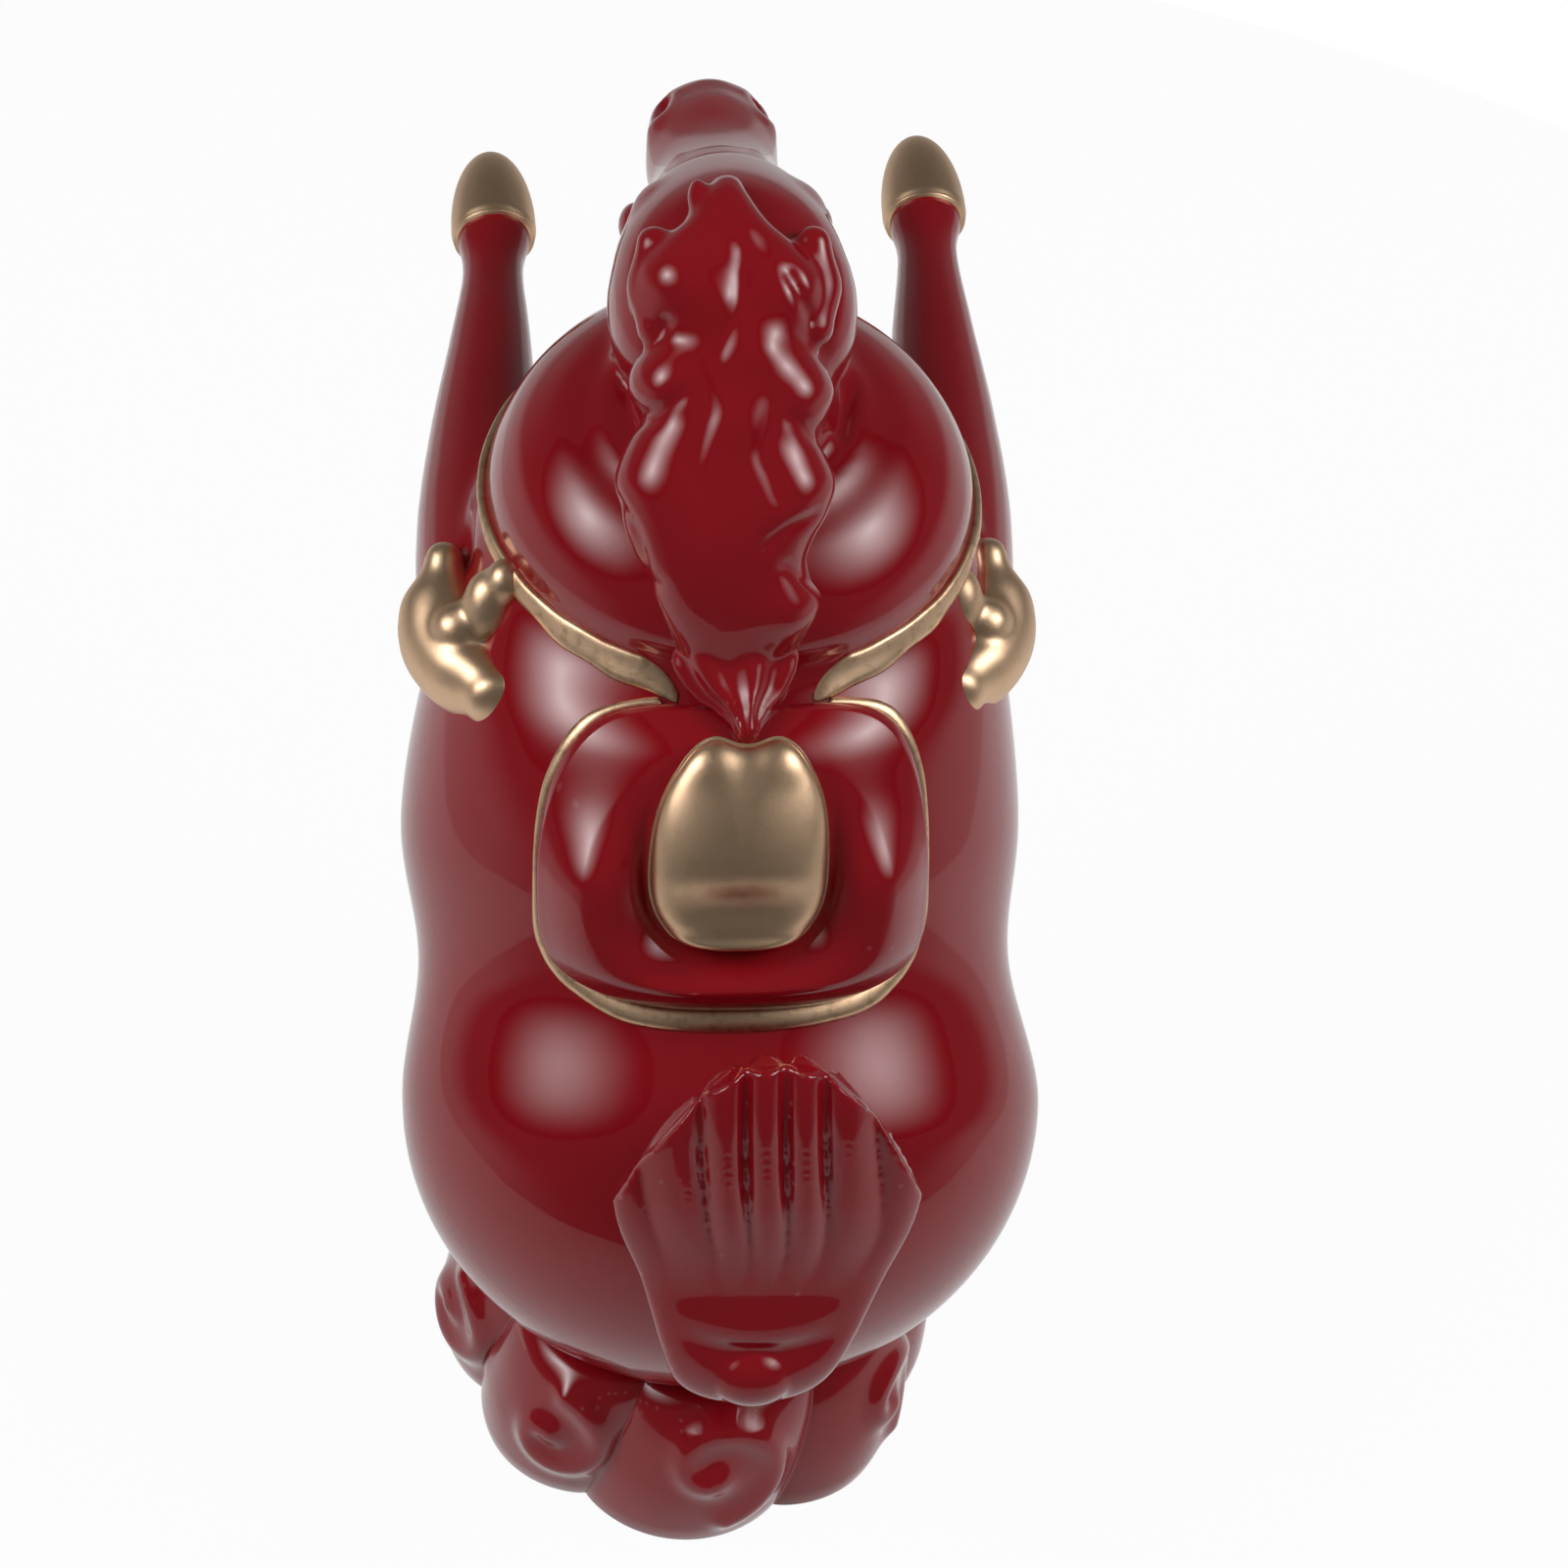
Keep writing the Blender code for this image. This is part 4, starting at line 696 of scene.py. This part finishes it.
# Mane: a thick crest of hair over the neck, cast with the forelock, the ears laid back on it and
# a lowest lock that reaches the seat. Its sides fall in rounded locks of unlike length. Each
# station is given at its rear face, with its depth last.
MANE_MIDDLE = 3.4
VIEW_LEVEL = 205.0
MANE_FACE = np.array((
    (2.0, 57.6, 170.4, 92.0, 0.0, 5.6),
    (2.6, 57.8, 181.0, 87.0, 0.0, 8.6),
    (3.2, 60.3, 191.5, 75.0, 0.0, 10.2),
    (3.6, 66.0, 203.0, 61.0, 0.0, 11.0),
    (3.6, 77.0, 216.5, 50.0, 0.0, 11.2),
    (3.4, 92.0, 230.8, 43.0, 0.0, 10.6),
    (3.4, 98.6, 236.3, 37.0, 0.0, 10.0),
    (3.4, 105.0, 240.3, 22.0, 0.0, 8.6),
    (3.4, 113.0, 240.4, -16.0, 0.0, 6.0),
    (3.2, 118.6, 235.8, -48.0, 0.0, 3.4),
))

# Each lock as its height, seen square to a 45 degree view, and its widths to left and right.
LOCKS = np.array((
    (15.5, 7.0, 6.6), (18.5, 8.8, 8.6), (21.5, 10.8, 11.2), (25.0, 12.4, 13.6), (28.3, 13.6, 15.4),
    (32.0, 14.6, 13.6), (35.6, 16.2, 13.0), (40.6, 17.8, 14.6), (45.7, 18.8, 17.0), (50.8, 19.6, 18.2),
    (55.8, 18.3, 16.4), (59.7, 16.6, 15.4), (63.2, 14.8, 16.8), (67.1, 17.0, 18.0), (70.8, 17.0, 16.8),
    (74.0, 15.4, 15.0), (76.2, 13.8, 14.2), (79.4, 15.6, 15.6), (83.0, 17.2, 16.6), (87.0, 17.2, 16.8),
    (90.0, 16.0, 15.2), (94.0, 13.0, 11.6), (98.0, 8.8, 7.4), (102.0, 6.8, 5.0), (105.6, 3.6, 3.4),
))

# Swells of the hair: beside the middle, height seen, radius and rise.
SWELLS = (
    (9.5, 87.0, 6.0, 3.0), (-9.5, 85.0, 6.5, 2.6), (12.0, 69.0, 5.6, 1.6), (-12.0, 67.0, 6.4, 1.6),
    (0.0, 93.0, 5.0, 1.6), (1.0, 76.0, 8.0, 1.0), (13.0, 51.0, 8.0, 1.2), (-12.0, 50.0, 7.0, 1.4),
    (-10.0, 30.0, 6.0, 1.8), (8.0, 38.0, 9.0, 0.8), (0.0, 62.0, 6.0, 1.2), (-1.0, 44.0, 8.0, 0.7),
    (3.0, 83.0, 4.5, 1.3), (-4.5, 74.0, 4.5, 1.4),
)

# Grooves between strands: points as beside the middle and height seen, then width and depth.
GROOVES = (
    (((18.0, 75.6), (13.6, 76.4), (11.0, 79.6)), 0.9, 1.4),
    (((-8.6, 87.4), (-11.5, 82.0), (-15.5, 76.4)), 0.8, 1.3),
    (((18.0, 62.6), (13.0, 63.6), (9.0, 67.0)), 1.2, 1.0),
    (((-18.0, 59.0), (-13.0, 60.0), (-9.5, 63.0)), 1.2, 1.0),
    (((19.5, 49.6), (16.2, 43.8), (14.2, 35.6), (12.6, 35.0)), 0.7, 0.9),
    (((-4.6, 41.0), (-9.0, 44.4), (-13.4, 46.6)), 0.8, 1.1),
    (((-17.0, 34.6), (-12.4, 35.8), (-8.6, 37.6)), 1.1, 0.9),
    (((2.6, 99.0), (-1.6, 91.0), (-0.6, 82.0), (3.2, 73.0)), 1.2, 0.8),
    (((7.0, 72.0), (4.4, 64.0), (7.4, 55.0), (5.0, 46.0)), 1.4, 0.7),
    (((-6.5, 66.0), (-4.0, 57.0), (-7.4, 49.0)), 1.4, 0.7),
)


def height_seen(points):
    """Height of points square to a 45 degree view, from where ahead and up add to VIEW_LEVEL."""
    return (points[..., AHEAD] + points[..., UP] - VIEW_LEVEL) * math.sqrt(0.5)


def groove(points, x, y, width):
    """How near each place is to a line through the points: 1 on it, almost 0 two widths away."""
    nearest = np.full(x.shape, np.inf)
    for (ax, ay), (bx, by) in zip(points, points[1:]):
        dx, dy = bx - ax, by - ay
        share = unit(((x - ax) * dx + (y - ay) * dy) / (dx * dx + dy * dy))
        nearest = np.minimum(nearest, np.hypot(x - ax - share * dx, y - ay - share * dy))
    return bell(nearest, 0.0, width)


def normals(grid):
    """Unit normals of a grid whose rings are closed, pointing out."""
    along = np.gradient(grid, axis=0)
    around = np.roll(grid, -1, 1) - np.roll(grid, 1, 1)
    found = np.cross(around, along)
    found /= np.linalg.norm(found, axis=-1, keepdims=True) + 1e-9
    outward = ((grid - grid.mean(axis=1, keepdims=True)) * found).sum()
    return found if outward > 0.0 else -found


def crest_shell():
    """The main mass of the mane, with its locks, swells and grooves."""
    rows = smooth(MANE_FACE, np.linspace(0.0, len(MANE_FACE) - 1.0, 320))
    centre, axis, back = frames(rows)
    seen = np.maximum.accumulate(height_seen(rows))
    spots = np.interp(seen, LOCKS[:, 0], np.arange(len(LOCKS)))
    padded = np.concatenate((np.zeros((len(LOCKS), HALF_WIDTH)), LOCKS[:, 1:]), axis=1)
    widths = smooth(padded, spots)[:, HALF_WIDTH:]
    turns = np.linspace(0.0, FULL_TURN, 300, endpoint=False)
    across = np.cos(turns)
    wide = np.where(across > 0.0, widths[:, :1], widths[:, 1:])
    deep = rows[:, HALF_DEPTH:]
    mass = signed_power(np.sin(turns), 0.82)
    grid = centre[:, None] + ((mass - 1.0) * deep)[..., None] * back[:, None]
    grid[..., SIDE] += wide * signed_power(across, 0.9)
    inside = centre - deep * back
    low = rounded_end(grid[0], inside[0], -6.0 * axis[0], steps=12, last=88.0)
    peak = rounded_end(grid[-1], inside[-1], 2.5 * axis[-1], steps=12, last=88.0)
    grid = np.concatenate((low[::-1], grid, peak))

    height = height_seen(grid)
    beside = grid[..., SIDE] - MANE_MIDDLE
    faced = unit(np.sin(np.broadcast_to(turns, height.shape)) + 0.25) ** 0.5
    relief = np.zeros_like(height)
    for place, level, radius, rise in SWELLS:
        relief += rise * bell(np.hypot(beside - place, height - level), 0.0, radius)
    for points, width, depth in GROOVES:
        relief -= depth * groove(points, beside, height, width)
    return grid + normals(grid) * (relief * faced)[..., None]


EAR = (
    (0.00, 0.00, 0.00, 46.0, 0.85, 1.00),
    (0.04, 0.45, 0.36, 46.0, 1.10, 1.10),
    (0.02, 0.86, 0.80, 46.0, 0.75, 0.85),
)
EAR_LENGTH = 12.5
EAR_HALF_WIDTH = 4.4
EAR_HALF_DEPTH = 3.8
EAR_OUT = {LEFT: 16.0, RIGHT: 10.8}
EAR_AHEAD = 94.0
EAR_UP = 222.5

# The curl at the end of the forelock: centre, radii and pitch.
FORELOCK_CURL = ((8.6, 110.5, 237.6), (2.0, 4.0, 2.4), 20.0)

shells = [crest_shell(), blob(*FORELOCK_CURL)]
for side in (LEFT, RIGHT):
    root = (EAR_OUT[side], EAR_AHEAD, EAR_UP)
    ear = stations(EAR, root, EAR_LENGTH, EAR_HALF_WIDTH, EAR_HALF_DEPTH, side)
    shells.append(loft(ear, count=60, steps=20, start=4.0, end=3.0))


def withers_lock():
    """The lowest lock: it spreads under the mane's end and is drawn in to the seat's notch."""
    tip = on_back(0.0, SEAT_CENTRE + SEAT_HALF_LENGTH - 0.5, 5.0)
    top = np.array((2.0, 61.5, 174.5))
    slope = math.degrees(math.atan2(top[UP] - tip[UP], top[AHEAD] - tip[AHEAD]))
    above_tip = tip * 0.7 + top * 0.3 + (0.0, 0.6, -0.4)
    middle = (tip + top) / 2.0 + (0.0, 1.0, -0.8)
    rows = [
        (*tip, slope, 2.0, 2.2),
        (*above_tip, slope, 4.8, 3.8),
        (*middle, slope, 8.0, 4.8),
        (*top, slope, 11.0, 5.6),
    ]
    grid = loft(rows, count=160, steps=80, start=2.0, end=6.0)
    strands = 0.8 * np.cos(7.0 * np.linspace(0.0, FULL_TURN, 160, endpoint=False))
    return grid + normals(grid) * strands[None, :, None]


shells.append(withers_lock())
mane = melted(piece_from("mane", shells), voxel=0.55, passes=10)
finished(mane, red_glaze, "red_glaze", "mane", "ear_left", "ear_right", "withers_lock")

# Tail: a dock and a bend, then an upright fan of hair, cast in one. The fan has rounded ridges
# that fade towards a fold over the bend, a round knob on the bend, and a thin arched rim. Its
# stations are numbered: the bend is at 2, the fan's corners at 4 and its top at 5.
UPRIGHT = 78.0
BEND = np.array((-8.0, 69.0))
low, corner, top = (further(BEND, reach, UPRIGHT) for reach in (17.6, 35.2, 64.5))
TAIL = (
    (0.0, 13.0, 70.5, 184.0, 10.5, 6.6),
    (0.0, 2.5, 69.75, 184.0, 11.55, 6.6),
    (-1.5, *BEND, 140.0, 15.0, 9.2),
    (-3.0, *low, UPRIGHT, 21.92, 4.0),
    (-3.0, *corner, UPRIGHT, 27.4, 3.2),
    (-3.6, *top, UPRIGHT, 27.4, 2.0),
)
BEND_STATION = 2.0
TOP_STATION = 5.0
RIDGE_HEIGHT = 3.0
RIDGE_SINK = 1.8
RIDGES = 6.6
FOLD_STATION = 2.46
FOLD_DEPTH = 2.0
SIDE_FOLD = 1.2
RIM_CURL = 2.6
FAN_BOW = 2.4

# The knob on the bend: centre, radii and pitch.
KNOB = ((-1.5, -10.5, 67.5), (8.4, 6.8, 6.8), 45.0)

turns = np.linspace(0.0, FULL_TURN, 640, endpoint=False)
across = np.cos(turns)[None]
face = np.sin(turns)[None]
dock_spots = np.linspace(0.0, BEND_STATION, 60)
fan_spots = np.linspace(BEND_STATION, TOP_STATION, 240)[1:]
spot = np.concatenate((dock_spots, fan_spots))[:, None] + 0.0 * across
arch = 1.0 - np.abs(across) ** 2.2 / 3.0
spot = np.where(spot > BEND_STATION, BEND_STATION + (spot - BEND_STATION) * arch, spot)
row = smooth(TAIL, spot)
centre, _, back = frames(row)
opened = unit((spot - 2.55) / 1.5)
combed = unit((spot - 3.0) / 1.3)
phase = RIDGES * (across - 0.05) + 0.6 * np.sin(4.0 * across) + 0.35 * np.sin(2.2 * spot)
ridge = np.abs(np.cos(math.pi * phase / 2.0)) ** 0.75
folded = SIDE_FOLD * unit((np.abs(across) - 0.84) / 0.16) ** 2
fold = FOLD_DEPTH * bell(spot, FOLD_STATION + 0.25 * across ** 2, 0.11) * np.exp(-(across / 0.62) ** 4)
relief = (RIDGE_HEIGHT * ridge - RIDGE_SINK) * combed - folded * opened - fold
curl = RIM_CURL * unit((spot - 4.55) / 0.45) ** 2
depth = row[..., HALF_DEPTH] * signed_power(face, 0.8) + relief * face
bow = FAN_BOW * opened * (1.0 - across ** 2) - curl
fan = centre + (depth + bow)[..., None] * back
fan[..., SIDE] += row[..., HALF_WIDTH] * signed_power(across, 0.94)
tail = melted(piece_from("tail", [fan, blob(*KNOB)]), voxel=0.45, passes=6)
finished(tail, red_glaze, "red_glaze", "tail")

# Cloud: the base that the rump sits on, cast with curls in low relief. Each curl winds in over
# its own lobe, and soft folds run down between the lobes.
CLOUD_SIDE = 3.0
CLOUD_HEIGHT = 35.0
CLOUD_HALF_WIDTH = 48.0
CLOUD_HALF_LENGTH = 59.0
CLOUD_RADIUS = 50.0
LOBES = 9.0
LOBE_DEPTH = 0.09
CURL_RISE = 1.7
CURL_WIDTH = 2.9
CURL_REACH = 20.0

# Profile of the wall as shares of the half width and of the height.
CLOUD_WALL = np.array(((0.98, 0.0), (1.0, 0.14), (1.0, 0.42), (0.955, 0.74), (0.88, 0.93), (0.74, 1.0)))

# Each curl as its heading in degrees, the hand it winds by, its level, size and turns.
CURLS = (
    (-92.0, -1.0, 21.0, 13.5, 1.0), (-52.0, 1.0, 18.0, 11.0, 0.95), (-141.0, -1.0, 17.0, 11.0, 0.95),
    (-12.0, 1.0, 17.0, 10.5, 1.0), (-182.0, 1.0, 17.0, 10.5, 1.0), (28.0, -1.0, 17.0, 11.0, 1.0),
    (146.0, 1.0, 17.0, 11.0, 1.0), (68.0, -1.0, 17.0, 11.0, 1.0), (106.0, 1.0, 17.0, 11.0, 1.0),
)


def curl_line(hand, level, size, winds):
    """Points of a curl that winds in, as places round the wall and up it."""
    share = np.linspace(0.0, 1.0, 40)
    angle = hand * (FULL_TURN * winds * share + math.radians(100.0))
    radius = size * (1.0 - 0.85 * share)
    return list(zip(1.15 * radius * np.cos(angle), level + radius * np.sin(angle)))


turns = np.linspace(0.0, FULL_TURN, 900, endpoint=False)
padded = np.concatenate((np.zeros((len(CLOUD_WALL), HALF_WIDTH)), CLOUD_WALL), axis=1)
wall = smooth(padded, np.linspace(0.0, len(CLOUD_WALL) - 1.0, 170))[:, HALF_WIDTH:]
slant = 0.5 * np.sin(2.0 * turns) + 0.9 * (wall[:, 1:] - 0.4)
lobe = np.abs(np.cos(LOBES / 2.0 * (turns + math.pi / 2.0) + slant))
swell = wall[:, :1] * (1.0 - LOBE_DEPTH * (1.0 - lobe ** 0.8))
side = CLOUD_SIDE + CLOUD_HALF_WIDTH * swell * np.cos(turns)
ahead = CLOUD_HALF_LENGTH + CLOUD_HALF_LENGTH * swell * signed_power(np.sin(turns), 0.94)
up = np.broadcast_to(wall[:, 1:] * CLOUD_HEIGHT, side.shape)
grid = np.stack((side, ahead, up), -1)
level = grid[..., UP]
relief = np.zeros(level.shape)
for heading, hand, curl_level, size, winds in CURLS:
    round_wall = CLOUD_RADIUS * ((turns - math.radians(heading) + math.pi) % FULL_TURN - math.pi)
    near = np.abs(round_wall) < CURL_REACH
    places = np.broadcast_to(round_wall[near], (level.shape[0], near.sum()))
    line = curl_line(hand, curl_level, size, winds)
    relief[:, near] += CURL_RISE * groove(line, places, level[:, near], CURL_WIDTH)
fade = unit((CLOUD_HEIGHT - level) / 6.0) * unit(level / 4.0)
grid = grid + normals(grid) * (relief * fade)[..., None]
grid[..., UP] = np.maximum(grid[..., UP], 0.0)
cloud = piece_from("cloud_base", [grid])
finished(
    cloud, red_glaze, "red_glaze", "cloud_base", "cloud_scroll_1", "cloud_scroll_2", "cloud_scroll_3",
    "cloud_scroll_4", "cloud_scroll_5", "cloud_scroll_6",
)

# Studio: a round white table top in a dark room, which is pale below the horizon, except on the
# camera's side, and a little pale ahead. Two large round diffused lamps hang at the upper left
# and the upper right. Mirrored in the figure, the table glows, less so towards the camera.
WHITE = (1.0, 1.0, 1.0, 1.0)
FLOOR_RADIUS = 0.42
bpy.ops.mesh.primitive_circle_add(vertices=96, radius=FLOOR_RADIUS, fill_type="NGON")
floor = bpy.context.object
floor.name = "floor"
paper = bpy.data.materials.new("white_paper")
tree = bare(paper)
matt = add(tree, "BsdfDiffuse", {"Color": (0.75, 0.75, 0.75, 1.0)})
glow = add(tree, "Emission", {"Color": WHITE, "Strength": 1.0})
path = add(tree, "LightPath")
mirrored = add(tree, "Math", {
    0: path.outputs["Is Glossy Ray"], 1: path.outputs["Is Transmission Ray"],
}, operation="MAXIMUM")
place = add(tree, "SeparateXYZ", {0: add(tree, "TexCoord").outputs["Object"]})
near = add(tree, "MapRange", {
    "Value": place.outputs["Y"], "From Min": 0.32, "From Max": 0.10, "To Max": 0.5,
})
less_seen = add(tree, "Math", {0: mirrored.outputs[0], 1: near.outputs[0]}, operation="MULTIPLY")
full_seen = add(tree, "Math", {0: path.outputs["Is Camera Ray"], 1: 0.96}, operation="MULTIPLY")
part_seen = add(tree, "Math", {0: less_seen.outputs[0], 1: full_seen.outputs[0]}, operation="MAXIMUM")
mixed = add(tree, "MixShader", {0: part_seen.outputs[0], 1: matt.outputs[0], 2: glow.outputs[0]})
add(tree, "OutputMaterial", {"Surface": mixed.outputs[0]})
floor.data.materials.append(paper)

world = bpy.data.worlds.new("studio")
bpy.context.scene.world = world
tree = bare(world)
facing = add(tree, "SeparateXYZ", {0: add(tree, "TexCoord").outputs["Generated"]})
below = add(tree, "MapRange", {"Value": facing.outputs["Z"], "From Min": 0.02, "From Max": -0.14})
front = add(tree, "MapRange", {"Value": facing.outputs["Y"], "From Min": 0.70, "From Max": 0.20})
low = add(tree, "Math", {0: below.outputs[0], 1: front.outputs[0]}, operation="MULTIPLY")
ahead = add(tree, "MapRange", {"Value": facing.outputs["Y"], "From Min": -0.40, "From Max": -0.85})
under = add(tree, "MapRange", {
    "Value": facing.outputs["Z"], "From Min": 0.55, "From Max": 0.20, "To Max": 0.30,
})
sweep = add(tree, "Math", {0: ahead.outputs[0], 1: under.outputs[0]}, operation="MULTIPLY")
either = add(tree, "Math", {0: low.outputs[0], 1: sweep.outputs[0]}, operation="MAXIMUM")
room = add(tree, "MixRGB", {
    "Fac": either.outputs[0], "Color1": (0.10, 0.10, 0.10, 1.0), "Color2": (0.50, 0.50, 0.50, 1.0),
})
seen = add(tree, "LightPath").outputs["Is Camera Ray"]
shown = add(tree, "MixRGB", {"Fac": seen, "Color1": room.outputs[0], "Color2": WHITE})
sky = add(tree, "Background", {"Color": shown.outputs[0], "Strength": 1.0})
add(tree, "OutputWorld", {"Surface": sky.outputs[0]})

LAMP_RADIUS = 0.60
LAMP_DISTANCE = 0.95
LAMP_WAYS = ((0.75, 0.20, 0.64), (-0.71, 0.24, 0.66))
LAMP_STRENGTH = 9.5
LAMP_FADE = 2.6
figure_middle = Vector((0.0, 0.0, 0.12))
for number, way in enumerate(LAMP_WAYS, start=1):
    way = Vector(way).normalized()
    lamp_place = figure_middle + way * LAMP_DISTANCE
    bpy.ops.mesh.primitive_circle_add(
        vertices=64, radius=LAMP_RADIUS, fill_type="NGON", location=lamp_place,
    )
    lamp = bpy.context.object
    lamp.name = f"diffused_lamp_{number}"
    lamp.rotation_mode = "QUATERNION"
    lamp.rotation_quaternion = way.to_track_quat("Z", "Y")
    lamp.visible_camera = False
    light = bpy.data.materials.new(f"lamp_light_{number}")
    tree = bare(light)
    spread = add(tree, "VectorMath", {0: add(tree, "TexCoord").outputs["Object"]}, operation="LENGTH")
    inward = add(tree, "MapRange", {
        "Value": spread.outputs["Value"], "From Min": LAMP_RADIUS, "From Max": 0.02,
    })
    fade = add(tree, "Math", {0: inward.outputs[0], 1: LAMP_FADE}, operation="POWER")
    strength = add(tree, "Math", {0: fade.outputs[0], 1: LAMP_STRENGTH}, operation="MULTIPLY")
    glow = add(tree, "Emission", {"Color": WHITE, "Strength": strength.outputs[0]})
    add(tree, "OutputMaterial", {"Surface": glow.outputs[0]})
    lamp.data.materials.append(light)

# Camera: behind and above the figure, 45 degrees up and 7.5 degrees to the horse's left, rolled
# a little. The shift places the figure left of the frame's middle, as in the photograph.
PHOTO_PIXELS = 1600.0
TARGET_COLUMN = 735.0
TARGET_ROW = 801.0
FOCAL_PIXELS = 4950.0
SENSOR_WIDTH = 36.0
CAMERA_DISTANCE = 0.9
TARGET_AHEAD = 85.0
TARGET_UP = 120.0
view = bpy.data.cameras.new("camera")
camera = bpy.data.objects.new("camera", view)
bpy.context.collection.objects.link(camera)
bpy.context.scene.camera = camera
azimuth = math.radians(172.5)
elevation = math.radians(45.0)
roll = math.radians(4.6)
level_reach = math.cos(elevation)
away = Vector((math.sin(azimuth) * level_reach, -math.cos(azimuth) * level_reach, math.sin(elevation)))
target = Vector((0.0, (REAR - TARGET_AHEAD) * MM, TARGET_UP * MM))
camera.location = target + away * CAMERA_DISTANCE
camera.rotation_mode = "QUATERNION"
rolled = Matrix.Rotation(roll, 3, "Z").to_quaternion()
camera.rotation_quaternion = away.to_track_quat("Z", "Y") @ rolled
view.sensor_width = SENSOR_WIDTH
view.lens = SENSOR_WIDTH * FOCAL_PIXELS / PHOTO_PIXELS
view.shift_x = (PHOTO_PIXELS / 2.0 - TARGET_COLUMN) / PHOTO_PIXELS
view.shift_y = (TARGET_ROW - PHOTO_PIXELS / 2.0) / PHOTO_PIXELS
bpy.context.scene.view_settings.view_transform = "Standard"
